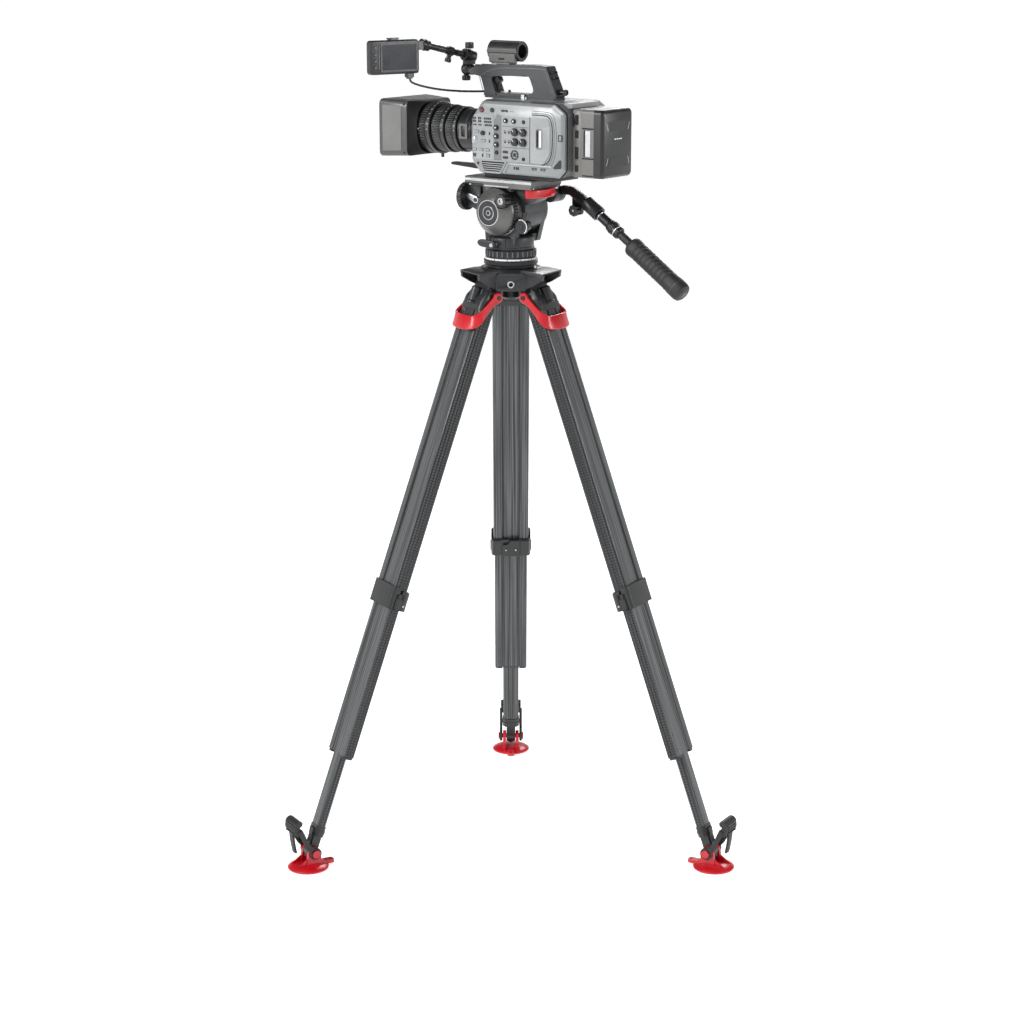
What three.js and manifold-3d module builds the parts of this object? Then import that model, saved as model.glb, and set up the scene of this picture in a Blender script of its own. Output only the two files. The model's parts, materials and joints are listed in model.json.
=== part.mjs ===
// Camcorder with lens, monitor and battery, on a fluid head and a three-leg carbon tripod.
// Millimetres, +Z up. The floor is z = 0 and the origin is the bottom centre of the whole object.
// The tripod has one leg along +Y. The head and camera form a rig that is turned about the pan axis:
// in the rig's own frame +X is the lens direction, +Y the camera's left and +Z up.
import * as THREE from 'three';
import * as BufferGeometryUtils from 'three/addons/utils/BufferGeometryUtils.js';
import Module from 'manifold-3d';

const wasm = await Module();
wasm.setup();

const GAP = 0.3;                    // clearance between pieces that touch or slide
const ROUND = 16;                   // sides of an ordinary round piece
const RING_FACETS = 14;             // half the sides of a bore that a ring turns on
const BOWL_FACETS = 36;

// ---- driving dimensions -------------------------------------------------------------------

const LEG = {
  azimuths: { left: 210, right: 330, back: 90 },
  spread: 20,                       // degrees from vertical at the first stop
  hingeRadius: 52,                  // pan axis to hinge pin
  hingeToFoot: 1145,                // hinge pin to foot pivot at the extension shown
  shoulderLength: 61,
  shoulderWidth: 72,
  spigotLength: 20,
  upperEnd: 618,                    // distance from the hinge pin down the leg
  middleLength: 550,
  middleEnd: 950,
  lowerLength: 552,
};
const UPPER = { width: 72, depth: 30, corner: 10, recessWidth: 31, recess: 2.5 };
const MIDDLE = { width: 67, depth: 22, corner: 9, railBore: 7 };
const LOWER = { width: 33, depth: 18, chamfer: 5 };
const TUBE_FACETS = 3;              // segments in each rounded corner of a leg tube and its bore
const TUBE_SLIDE = 0.3;             // running clearance of one leg stage in the next
const BORE_CORNER = 1.5;            // a bore's corners are this much tighter than those of the tube in it
const CLAMP = { top: 604, length: 46, width: 84, depth: 37 };
const BAIL = { pivotDown: 29, pivotIn: 11, armThickness: 6.4, studRadius: 5, strapProud: 9 };
const FOOT = {
  pivotHeight: 33, pinRadius: 5, headRadius: 8, padRadius: 39.5, padOffset: 6.4, padEdge: 4,
  earInner: 10, earOuter: 17.5, armInner: 18.5, armOuter: 24.4, headOuter: 27,
};

const HUB = {
  hingePin: 4, knuckle: 7.5, pocketHalf: 29.7, cheek: 7, rimRise: 20, floorDrop: 19,
  drumRadius: 56, panelReach: 60, wingReach: 90, coreBore: 40, bowlRadius: 49, bowlDepth: 8,
};

const HEAD = {
  yaw: 142,                         // degrees from +X to the lens direction
  seatBand: 3, levelGap: 6.5, flangeRadius: 51.5, flangeHeight: 9.5, scaleRadius: 47.5, scaleHeight: 5,
  dragRadius: 48.5, dragHeight: 14, postRadius: 14, bossRadius: 30,
  housingRadius: 44, housingHeight: 25.5, tiltHeight: 108, cheekRadius: 44,
  drumRadius: 45, drumLeft: 19.7, drumRight: -46.2, axleRadius: 10,
  leftCheek: 13.5, rightCheek: 11.5, tiltRingWidth: 12, tiltRingRadius: 45,
  platformRise: 50, platformHalf: 39.7, platformRear: -84, platformFront: 70,
};
const PLATE = { rear: -86, front: 76, half: 46, height: 12.7, lip: 4.7, lipFront: 30 };
const BAR = {
  offset: -60, start: [-150, 114], slope: 34.5, tubeRadius: 9.5, tubeWall: 1.2, boreStart: 8,
  rodStart: 36, gripRadius: 19, gripLength: 146,
};

const CAM = {
  adapterHeight: 9.4, rear: -178, front: 42.5, rightSide: -71, leftSide: 71, height: 136,
  panelThickness: 11.3, lensHeight: 82,
};
const LENS = {
  mountRadius: 40, mountEnd: 98, grooveRadius: 34, frontStart: 192, frontRadius: 50, frontEnd: 212,
  ring: { iris: [100, 126, 43], zoom: [128, 158, 45], focus: [160, 191.7, 49.5] },
};
const HOOD = {
  neckX: 184, backX: 200, frontX: 262, neckRadius: 53, backHalf: [66, 52], frontHalf: [75, 55], wall: 3,
};
const BODY_BOTTOM = GAP + CAM.adapterHeight + GAP;
const BODY_TOP = BODY_BOTTOM + CAM.height;
const HANDLE = { half: 15, height: 61.8 };
const MIC = { outer: 19, bore: 14, rear: -28, front: 43, height: BODY_TOP + 86 };
const MONITOR = { width: 108, height: 62, depth: 18, centre: [139, 175, BODY_TOP + 78], turn: -15.1 };
const ROD = {
  radius: 6, centre: [101, 0, BODY_TOP + 74], direction: [24, 110, 25], back: -14, length: 126,
};
const BATTERY = { adapterDepth: 20.7, depth: 47.7, half: 47, bottom: 13.5, top: 137 };
const CABLE_RADIUS = 2;

const RAD = Math.PI / 180;
const HINGE_Z = FOOT.pivotHeight + LEG.hingeToFoot * Math.cos(LEG.spread * RAD);
const RIM_Z = HINGE_Z + HUB.rimRise;
const FOOT_RADIAL = LEG.hingeRadius + LEG.hingeToFoot * Math.sin(LEG.spread * RAD);
const ORIGIN_SHIFT = -(FOOT_RADIAL + FOOT.padOffset) / 4;
const LEVER_STUD_HALF = LEG.shoulderWidth / 2 + 2 * GAP + BAIL.armThickness + 1.4;

// ---- materials ----------------------------------------------------------------------------

function surface(color, roughness, metalness) {
  return new THREE.MeshStandardMaterial({ color, roughness, metalness });
}
const BLACK_METAL = surface(0x1b1c1e, 0.5, 0.6);
const DARK_GREY = surface(0x3c3f42, 0.5, 0.5);
const MID_GREY = surface(0x6a6c6c, 0.45, 0.5);
const BODY_SILVER = surface(0xa9acad, 0.45, 0.5);
const BLACK_PLASTIC = surface(0x17181a, 0.6, 0);
const RED = surface(0xd2202a, 0.45, 0);
const CARBON = surface(0x24272a, 0.35, 0.1);
const SILVER = surface(0xc4c6c8, 0.3, 0.9);
const RUBBER = surface(0x141414, 0.85, 0);

// ---- geometry helpers ---------------------------------------------------------------------

function toSolid(geometry) {
  const bare = geometry.clone();
  bare.deleteAttribute('normal');
  bare.deleteAttribute('uv');
  const merged = BufferGeometryUtils.mergeVertices(bare, 1e-4);
  const mesh = new wasm.Mesh({
    numProp: 3,
    vertProperties: new Float32Array(merged.attributes.position.array),
    triVerts: new Uint32Array(merged.index.array),
  });
  return new wasm.Manifold(mesh);
}

function toGeometry(solid) {
  const mesh = solid.getMesh();
  const geometry = new THREE.BufferGeometry();
  geometry.setAttribute('position', new THREE.BufferAttribute(mesh.vertProperties, 3));
  geometry.setIndex(new THREE.BufferAttribute(mesh.triVerts, 1));
  return geometry;
}

// One closed geometry: everything in add joined, then everything in cut taken away.
function shaped(add, cut = []) {
  let solid = toSolid(add[0]);
  for (const piece of add.slice(1)) solid = solid.add(toSolid(piece));
  for (const piece of cut) solid = solid.subtract(toSolid(piece));
  return toGeometry(solid);
}

// An outline with corners given as [x, y, radius]; the radius may be left out.
function outline(corners) {
  const shape = new THREE.Shape();
  const count = corners.length;
  corners.forEach(([x, y, radius = 0], i) => {
    const corner = new THREE.Vector2(x, y);
    const before = new THREE.Vector2(...corners[(i + count - 1) % count].slice(0, 2));
    const after = new THREE.Vector2(...corners[(i + 1) % count].slice(0, 2));
    const limit = 0.45 * Math.min(corner.distanceTo(before), corner.distanceTo(after));
    const back = Math.min(radius, limit);
    const start = corner.clone().add(before.sub(corner).setLength(back));
    const end = corner.clone().add(after.sub(corner).setLength(back));
    if (i === 0) shape.moveTo(start.x, start.y);
    else shape.lineTo(start.x, start.y);
    if (back > 0) shape.quadraticCurveTo(x, y, end.x, end.y);
  });
  shape.closePath();
  return shape;
}

function roundedRect(width, height, radius, cx = 0, cy = 0) {
  const [w, h] = [width / 2, height / 2];
  const r = radius * 1.2;
  return outline([[cx - w, cy - h, r], [cx + w, cy - h, r], [cx + w, cy + h, r], [cx - w, cy + h, r]]);
}

function octagon(width, height, chamfer) {
  const [w, h, c] = [width / 2, height / 2, chamfer];
  return outline([[-w + c, -h], [w - c, -h], [w, -h + c], [w, h - c], [w - c, h], [-w + c, h],
    [-w, h - c], [-w, -h + c]]);
}

function circlePath(radius, cx = 0, cy = 0) {
  const path = new THREE.Path();
  path.absarc(cx, cy, radius, 0, 2 * Math.PI, true);
  return path;
}

// A band of constant width along a centre line.
function band(points, width) {
  const line = points.map((p) => new THREE.Vector2(...p));
  const left = [];
  const right = [];
  line.forEach((point, i) => {
    const ahead = line[Math.min(i + 1, line.length - 1)];
    const behind = line[Math.max(i - 1, 0)];
    const run = ahead.clone().sub(behind).normalize();
    const side = new THREE.Vector2(-run.y, run.x).multiplyScalar(width / 2);
    left.push([point.x + side.x, point.y + side.y]);
    right.unshift([point.x - side.x, point.y - side.y]);
  });
  return outline([...right, ...left].reverse());
}

// Extrusions. z: outline in (x, y). y: outline in (x, z). x: outline in (y, z).
function prismZ(shape, from, to, bevel = 0, curveSegments = 2) {
  const geometry = new THREE.ExtrudeGeometry(shape, {
    depth: to - from - 2 * bevel, bevelEnabled: bevel > 0, bevelThickness: bevel, bevelSize: bevel,
    bevelOffset: -bevel, bevelSegments: 1, curveSegments,
  });
  return geometry.translate(0, 0, from + bevel);
}
function prismY(shape, from, to, bevel = 0, curveSegments = 2) {
  return prismZ(shape, -to, -from, bevel, curveSegments).rotateX(Math.PI / 2);
}
function prismX(shape, from, to, bevel = 0, curveSegments = 2) {
  return prismZ(shape, from, to, bevel, curveSegments).rotateX(Math.PI / 2).rotateZ(Math.PI / 2);
}
function box(x0, x1, y0, y1, z0, z1) {
  const geometry = new THREE.BoxGeometry(x1 - x0, y1 - y0, z1 - z0);
  return geometry.translate((x0 + x1) / 2, (y0 + y1) / 2, (z0 + z1) / 2);
}
// Round bars along each axis, from one end to the other.
function barZ(radius, from, to, x = 0, y = 0, sides = ROUND) {
  const geometry = new THREE.CylinderGeometry(radius, radius, to - from, sides);
  return geometry.rotateX(Math.PI / 2).translate(x, y, (from + to) / 2);
}
function barY(radius, from, to, x = 0, z = 0, sides = ROUND) {
  const geometry = new THREE.CylinderGeometry(radius, radius, to - from, sides);
  return geometry.translate(x, (from + to) / 2, z);
}
function barX(radius, from, to, y = 0, z = 0, sides = ROUND) {
  const geometry = new THREE.CylinderGeometry(radius, radius, to - from, sides);
  return geometry.rotateZ(-Math.PI / 2).translate((from + to) / 2, y, z);
}
// A turned piece about Z from [radius, z] points that start and end on the axis, bottom first.
function turnedZ(points, sides = 20) {
  const profile = points.map(([r, z]) => new THREE.Vector2(r, z));
  return new THREE.LatheGeometry(profile, sides).rotateX(Math.PI / 2);
}
function turnedX(points, sides = 20) {
  return turnedZ(points, sides).rotateY(Math.PI / 2);
}
function turnedY(points, sides = 20) {
  return turnedZ(points, sides).rotateX(-Math.PI / 2);
}
// A ring about Z with ribs on its outer edge.
function ribbedRing(outer, inner, from, to, ribs, ribDepth) {
  const corners = [];
  for (let i = 0; i < ribs; i += 1) {
    for (const [part, radius] of [[0, outer], [0.6, outer - ribDepth]]) {
      const angle = 2 * Math.PI * (i + part) / ribs;
      corners.push([radius * Math.cos(angle), radius * Math.sin(angle)]);
    }
  }
  const shape = outline(corners);
  if (inner > 0) shape.holes.push(circlePath(inner));
  return prismZ(shape, from, to, 0, RING_FACETS);
}
// A skin over rings of points that all have the same count, closed by flat ends.
function loft(rings) {
  const count = rings[0].length;
  const positions = rings.flat(2);
  const index = [];
  for (let r = 0; r < rings.length - 1; r += 1) {
    for (let i = 0; i < count; i += 1) {
      const [a, b] = [r * count + i, r * count + (i + 1) % count];
      index.push(a, b, b + count, a, b + count, a + count);
    }
  }
  for (let i = 1; i < count - 1; i += 1) {
    index.push(0, i + 1, i);
    const last = (rings.length - 1) * count;
    index.push(last, last + i, last + i + 1);
  }
  const geometry = new THREE.BufferGeometry();
  geometry.setAttribute('position', new THREE.Float32BufferAttribute(positions, 3));
  geometry.setIndex(index);
  return geometry;
}

function add(group, name, geometry, material, position = [0, 0, 0]) {
  const mesh = new THREE.Mesh(geometry, material);
  mesh.name = name;
  mesh.position.set(...position);
  group.add(mesh);
  return mesh;
}

// ---- one leg: X is the outward normal, Y runs across the leg, -Z runs down it --------------

function shoulderGeometry() {
  const half = LEG.shoulderWidth / 2;
  const neck = HUB.pocketHalf - GAP;
  const body = outline([[-half, -31], [-neck, -20], [-neck, 0], [neck, 0], [neck, -20], [half, -31],
    [half, -LEG.shoulderLength, 5], [-half, -LEG.shoulderLength, 5]].reverse());
  const sleeve = outline([[-half, -LEG.shoulderLength], [half, -LEG.shoulderLength], [half, -33, 4],
    [-half, -33, 4]]);
  const spigot = roundedRect(MIDDLE.depth - 2, MIDDLE.width - 2, MIDDLE.corner);
  return shaped([
    prismX(body, -HUB.knuckle, HUB.knuckle),
    prismX(sleeve, -UPPER.depth / 2 - 2, UPPER.depth / 2 + 2),
    barY(HUB.knuckle, -neck, neck),
    prismZ(spigot, -LEG.shoulderLength - LEG.spigotLength, -LEG.shoulderLength + 1),
    barY(BAIL.studRadius, -LEVER_STUD_HALF, LEVER_STUD_HALF, -BAIL.pivotIn, -BAIL.pivotDown, 16),
    box(-14, 4, -half, half, -42, -24),
  ], [barY(HUB.hingePin + GAP, -neck - 1, neck + 1, 0, 0, 12)]);
}

// The section of the upper tube: a shallow recess runs down the middle of both wide faces.
function upperSection(grow) {
  const [w, d, c] = [UPPER.width / 2 + grow, UPPER.depth / 2 + grow, UPPER.corner];
  const [rw, rd] = [UPPER.recessWidth / 2 - grow, d - UPPER.recess];
  return outline([[-d, -w, c], [-d, -rw - 2], [-rd, -rw], [-rd, rw], [-d, rw + 2], [-d, w, c],
    [d, w, c], [d, rw + 2], [rd, rw], [rd, -rw], [d, -rw - 2], [d, -w, c]].reverse());
}

function middleBore() {
  const [depth, width] = [MIDDLE.depth + 2 * TUBE_SLIDE, MIDDLE.width + 2 * TUBE_SLIDE];
  return roundedRect(depth, width, MIDDLE.corner - BORE_CORNER);
}

function upperTubeGeometry() {
  const shape = upperSection(0);
  shape.holes.push(middleBore());
  return prismZ(shape, -LEG.upperEnd, -LEG.shoulderLength - GAP, 0, TUBE_FACETS);
}

function midClampGeometry() {
  const { top, length, width, depth } = CLAMP;
  const upper = upperSection(GAP);
  return shaped([
    prismZ(roundedRect(depth, width - 4, 9), -top - length, -top - 14),
    prismZ(roundedRect(depth - 3, width - 8, 9), -top - length + 2, -top),
    box(-6, 6, -width / 2 - 1, width / 2 + 1, -top - length + 3, -top - 22),
    box(-depth / 2 - 6, 0, -17, 17, -top - length, -top - 2),
  ], [
    prismZ(upper, -LEG.upperEnd - GAP, -top + 1, 0, TUBE_FACETS),
    prismZ(middleBore(), -top - length - 1, -LEG.upperEnd, 0, TUBE_FACETS),
  ]);
}

function middleTubeGeometry() {
  const shape = roundedRect(MIDDLE.depth, MIDDLE.width, MIDDLE.corner);
  const slot = octagon(LOWER.depth + 2 * TUBE_SLIDE, LOWER.width + 2 * TUBE_SLIDE, LOWER.chamfer);
  shape.holes.push(slot);
  const railOffset = (MIDDLE.width / 2 + LOWER.width / 2) / 2;
  for (const side of [-1, 1]) shape.holes.push(circlePath(MIDDLE.railBore - 0.8, 0, side * railOffset));
  return prismZ(shape, -LEG.middleEnd, -LEG.middleEnd + LEG.middleLength, 0, TUBE_FACETS);
}

function lowerTubeGeometry() {
  const foot = LEG.hingeToFoot;
  const yokeTop = foot - 52;
  return shaped([
    prismZ(octagon(LOWER.depth, LOWER.width, LOWER.chamfer), -foot + 36, -foot + 36 + LEG.lowerLength - 18),
    prismZ(octagon(LOWER.depth + 4, LOWER.width + 3, LOWER.chamfer), -foot + 32, -yokeTop),
    box(-9, 9, -FOOT.earInner + GAP, FOOT.earInner - GAP, -foot, -foot + 34),
    barY(12.5, -FOOT.earInner + GAP, FOOT.earInner - GAP, 0, -foot),
  ], [barY(FOOT.pinRadius + GAP, -20, 20, 0, -foot, 16)]);
}

// The bail's own pivot is its origin.
function brakeLeverGeometry() {
  const inner = LEG.shoulderWidth / 2 + 2 * GAP + 1;
  const outer = inner + BAIL.armThickness;
  const proud = UPPER.depth / 2 + BAIL.strapProud + BAIL.pivotIn;
  const side = outline([[8, 5, 5], [19, -2, 6], [31, -24, 12], [proud + 4, -44, 8], [proud + 7, -56, 4],
    [proud + 6, -74, 3], [24, -73, 8], [10, -50, 14], [-5, -14, 10], [-8, 2, 7]].reverse());
  const window = outline([[-inner + 3, 12], [inner - 3, 12], [inner - 3, -38, 16], [16, -48, 14],
    [-16, -48, 14], [-inner + 3, -38, 16]].reverse());
  return shaped([prismY(side, -outer, outer)], [
    box(-40, proud, -inner, inner, -120, 40),
    prismX(window, -60, 120),
    barY(BAIL.studRadius + GAP, -outer - 1, outer + 1, 0, 0, 12),
  ]);
}

// The foot pivot is the origin; the foot is level.
function footPadGeometry() {
  const floor = -FOOT.pivotHeight;
  const pad = turnedZ([[0, floor], [FOOT.padRadius, floor], [FOOT.padRadius, floor + FOOT.padEdge],
    [31, floor + 8], [14, floor + 10.5], [0, floor + 10.5]], 24).translate(FOOT.padOffset, 0, 0);
  const ear = outline([[-15, floor + 5], [17, floor + 5], [11, 4, 10], [4, 11, 8], [-4, 11, 8], [-11, 4, 10]]);
  const rib = outline([[6, floor + 5], [36, floor + 5], [36, floor + 8], [12, floor + 24]]);
  const tab = roundedRect(22, 15, 5, FOOT.padOffset - FOOT.padRadius - 3, 0);
  const ears = [-1, 1].map((side) => {
    const [near, far] = [side * FOOT.earInner, side * FOOT.earOuter].sort((a, b) => a - b);
    return prismY(ear, near, far);
  });
  const ribs = [-1, 1].map((side) => prismY(rib, side * 13.7 - 1.8, side * 13.7 + 1.8));
  const headInner = FOOT.armOuter + GAP;
  const heads = [[headInner, FOOT.headOuter], [-FOOT.headOuter, -headInner]]
    .map(([from, to]) => barY(FOOT.headRadius, from, to, 0, 0, 14));
  return shaped([pad, ...ears, ...ribs, ...heads,
    prismZ(tab, floor + 2, floor + 9),
    barY(FOOT.pinRadius, -FOOT.headOuter + 1, FOOT.headOuter - 1, 0, 0, 12),
  ], [barZ(3, floor - 1, floor + 12, FOOT.padOffset - FOOT.padRadius - 7, 0, 12)]);
}

function footLatchGeometry() {
  const arm = band([[0, 0], [12, 13], [22, 29], [33, 50]], 9);
  const arms = [[FOOT.armInner, FOOT.armOuter], [-FOOT.armOuter, -FOOT.armInner]]
    .flatMap(([from, to]) => [prismY(arm, from, to), barY(12, from, to, 0, 0, 14)]);
  const hook = outline([[26, 44, 5], [39, 40, 7], [44, 52, 8], [42, 66, 8], [34, 72, 6], [26, 69],
    [27, 62], [33, 59], [28, 54]]);
  const strap = band([[40, 44], [38, 26], [33, 4]], 5);
  return shaped([...arms, prismY(hook, -FOOT.armOuter + 2.4, FOOT.armOuter - 2.4), prismY(strap, -8, 8)],
    [barY(FOOT.pinRadius + GAP, -40, 40, 0, 0, 12)]);
}

function makeLeg(name, azimuth) {
  const turn = azimuth * RAD;
  const leg = new THREE.Group();
  leg.position.set(LEG.hingeRadius * Math.cos(turn), LEG.hingeRadius * Math.sin(turn), HINGE_Z);
  leg.rotation.set(0, -LEG.spread * RAD, turn, 'ZYX');
  add(leg, `${name}_shoulder`, shoulderGeometry(), DARK_GREY);
  add(leg, `${name}_upper_tube`, upperTubeGeometry(), CARBON);
  add(leg, `${name}_brake_lever`, brakeLeverGeometry(), RED, [-BAIL.pivotIn, 0, -BAIL.pivotDown]);
  add(leg, `${name}_mid_clamp`, midClampGeometry(), BLACK_PLASTIC);
  add(leg, `${name}_middle_tube`, middleTubeGeometry(), CARBON);
  add(leg, `${name}_lower_tube`, lowerTubeGeometry(), CARBON);
  const foot = new THREE.Group();
  foot.position.set(FOOT_RADIAL * Math.cos(turn), FOOT_RADIAL * Math.sin(turn), FOOT.pivotHeight);
  foot.rotation.z = turn;
  add(foot, `${name}_foot_pad`, footPadGeometry(), RED);
  add(foot, `${name}_foot_latch`, footLatchGeometry(), RUBBER);
  return [leg, foot];
}

// ---- hub and head: heights in the head frame are counted from the bowl rim -----------------

function bowlArc(radius, depth) {
  const points = [];
  for (let i = 0; i <= 2; i += 1) {
    const z = -depth * (1 - i / 2);
    points.push([Math.sqrt(radius * radius - z * z), z]);
  }
  return points;
}

// The hub is built about the hinge height; its wings repeat at each leg, its panels between them.
function hubGeometry() {
  const { pocketHalf, cheek, rimRise, floorDrop, panelReach, wingReach } = HUB;
  const core = turnedZ([[0, -floorDrop], [HUB.drumRadius - 5, -floorDrop], [HUB.drumRadius, 0],
    [HUB.drumRadius, rimRise - 2], [HUB.drumRadius - 2, rimRise], [0, rimRise]], 24);
  const wall = outline([[40, rimRise - 1], [60, rimRise - 1], [wingReach, 16], [wingReach - 2, 3],
    [70, -8], [56, -14], [40, -floorDrop]].reverse());
  const roof = outline([[38, rimRise - 1], [60, rimRise - 1], [wingReach, 16], [wingReach, 11], [60, 13.5],
    [38, 13.5]].reverse());
  const face = outline([[-31, -12], [-26, -floorDrop], [26, -floorDrop], [31, -12], [33, 7],
    [22, 15], [-22, 15], [-33, 7]]);
  const additions = [core];
  const cuts = [];
  for (const azimuth of Object.values(LEG.azimuths)) {
    const turn = azimuth * RAD;
    for (const side of [-1, 1]) {
      const [from, to] = [side * pocketHalf, side * (pocketHalf + cheek)].sort((a, b) => a - b);
      additions.push(prismY(wall, from, to).rotateZ(turn));
    }
    additions.push(prismY(roof, -pocketHalf - 1, pocketHalf + 1).rotateZ(turn));
    additions.push(prismX(face, 30, panelReach).rotateZ(turn + Math.PI));
    const inner = HUB.coreBore + 4;
    cuts.push(box(inner, 120, -pocketHalf, pocketHalf, -60, 13.5).rotateZ(turn));
    cuts.push(barX(5, panelReach - 8, panelReach + 9, 0, -6, 12).rotateZ(turn + Math.PI));
  }
  const seat = turnedZ([[0, -60], [HUB.coreBore, -60], [HUB.coreBore, rimRise - HUB.bowlDepth - GAP],
    ...bowlArc(HUB.bowlRadius + GAP, HUB.bowlDepth).map(([r, z]) => [r, z + rimRise]),
    [HUB.bowlRadius + GAP, rimRise + 5], [0, rimRise + 5]], BOWL_FACETS);
  const carved = shaped(additions, [...cuts, seat]);
  const pins = Object.values(LEG.azimuths).map((azimuth) => barY(HUB.hingePin, -pocketHalf - 2, pocketHalf + 2,
    LEG.hingeRadius, 0, 16).rotateZ(azimuth * RAD));
  return shaped([carved, ...pins]);
}

const FLANGE_TOP = HEAD.levelGap + HEAD.flangeHeight;
const SCALE_TOP = FLANGE_TOP + HEAD.scaleHeight;
const DRAG_TOP = SCALE_TOP + HEAD.dragHeight;
const HOUSING_BOTTOM = DRAG_TOP + GAP;
const HOUSING_TOP = HOUSING_BOTTOM + HEAD.housingHeight;
const POST_TOP = HOUSING_BOTTOM + 15;

function levelBaseGeometry() {
  return turnedZ([[0, -62], [13, -62], [19, -57], [19, -34], [36, -20], [36, -HEAD.seatBand - 1],
    ...bowlArc(HUB.bowlRadius, HEAD.seatBand), [46, 2], [46, HEAD.levelGap],
    [HEAD.flangeRadius - 1, HEAD.levelGap], [HEAD.flangeRadius, HEAD.levelGap + 2],
    [HEAD.flangeRadius, FLANGE_TOP - 1], [HEAD.scaleRadius, FLANGE_TOP], [HEAD.scaleRadius, SCALE_TOP],
    [HEAD.bossRadius, SCALE_TOP], [HEAD.bossRadius, DRAG_TOP], [HEAD.postRadius, DRAG_TOP],
    [HEAD.postRadius, POST_TOP], [0, POST_TOP]], BOWL_FACETS);
}

// The round cheek that carries the tilt axle, with its foot on the housing.
function cheekGeometry(from, to, footHalf) {
  const radius = HEAD.cheekRadius;
  const post = outline([[-footHalf, HOUSING_TOP - 14], [footHalf, HOUSING_TOP - 14],
    [radius - 6, HEAD.tiltHeight - 18], [radius - 6, HEAD.tiltHeight], [-radius + 6, HEAD.tiltHeight],
    [-radius + 6, HEAD.tiltHeight - 18]]);
  return [barY(radius, from, to, 0, HEAD.tiltHeight, 28), prismY(post, from, to)];
}

const LEFT_CHEEK_IN = HEAD.drumLeft + GAP;
const LEFT_CHEEK_OUT = LEFT_CHEEK_IN + HEAD.leftCheek;
const RIGHT_CHEEK_IN = HEAD.drumRight - GAP;
const RIGHT_CHEEK_OUT = RIGHT_CHEEK_IN - HEAD.rightCheek;
const CAP_STUB = { radius: 12, end: LEFT_CHEEK_OUT + HEAD.tiltRingWidth + 14 };
const LEVEL_PIVOT = [-59, 84];
const PAN_BRAKE_PIVOT = [2, 46];

function panHousingGeometry() {
  const base = turnedZ([[0, HOUSING_BOTTOM], [HEAD.housingRadius, HOUSING_BOTTOM],
    [HEAD.housingRadius, HOUSING_TOP - 3], [HEAD.housingRadius - 3, HOUSING_TOP], [0, HOUSING_TOP]]);
  const lug = outline([[-36, 70], [-52, 72, 6], [-67, 80, 8], [-66, 92, 8], [-36, 100]].reverse());
  return shaped([base,
    ...cheekGeometry(LEFT_CHEEK_IN, LEFT_CHEEK_OUT, 34),
    ...cheekGeometry(RIGHT_CHEEK_OUT, RIGHT_CHEEK_IN, 26),
    box(-26, 26, RIGHT_CHEEK_OUT, -20, HOUSING_TOP - 14, HOUSING_TOP),
    barY(HEAD.axleRadius, RIGHT_CHEEK_IN - 2, LEFT_CHEEK_IN + 2, 0, HEAD.tiltHeight),
    barY(CAP_STUB.radius, LEFT_CHEEK_OUT - 2, CAP_STUB.end, 0, HEAD.tiltHeight),
    prismY(lug, LEFT_CHEEK_IN + 2, LEFT_CHEEK_OUT),
    barY(6, LEFT_CHEEK_OUT - 2, LEFT_CHEEK_OUT + 4, LEVEL_PIVOT[0], LEVEL_PIVOT[1], 16),
    barY(7, 38, 51, PAN_BRAKE_PIVOT[0], PAN_BRAKE_PIVOT[1], 16),
  ], [barZ(HEAD.postRadius + GAP, 0, POST_TOP + GAP)]);
}

const TILT_RING_IN = LEFT_CHEEK_OUT + GAP;
const TILT_RING_OUT = TILT_RING_IN + HEAD.tiltRingWidth;
const SIDE_KNOB = { radius: 13, at: [-28, 131.5], length: 19 };

function sideCapGeometry() {
  const inner = TILT_RING_OUT + GAP;
  const cone = turnedY([[0, inner], [44, inner], [44, inner + 3], [27, inner + 22], [24, inner + 24],
    [0, inner + 24]], 28).translate(0, 0, HEAD.tiltHeight);
  return shaped([cone], [
    barY(CAP_STUB.radius + GAP, inner - 1, CAP_STUB.end + GAP, 0, HEAD.tiltHeight),
    barY(SIDE_KNOB.radius + 0.6, inner + 3, inner + 60, ...SIDE_KNOB.at),
  ]);
}

const PLATFORM_TOP = HEAD.tiltHeight + HEAD.platformRise;
const PLATFORM_BOTTOM = HEAD.tiltHeight + HEAD.tiltRingRadius + 0.5;
const DIAL = { at: [77, 31, 131], radius: 26.5, thickness: 10 };
const TILT_BRAKE_PIVOT = [54, 34.3, 126];
const LOCK_PIVOT = [-74, -26];
const ROSETTE = { at: [-64, 137.5], radius: 15, outer: -52 };

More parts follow.
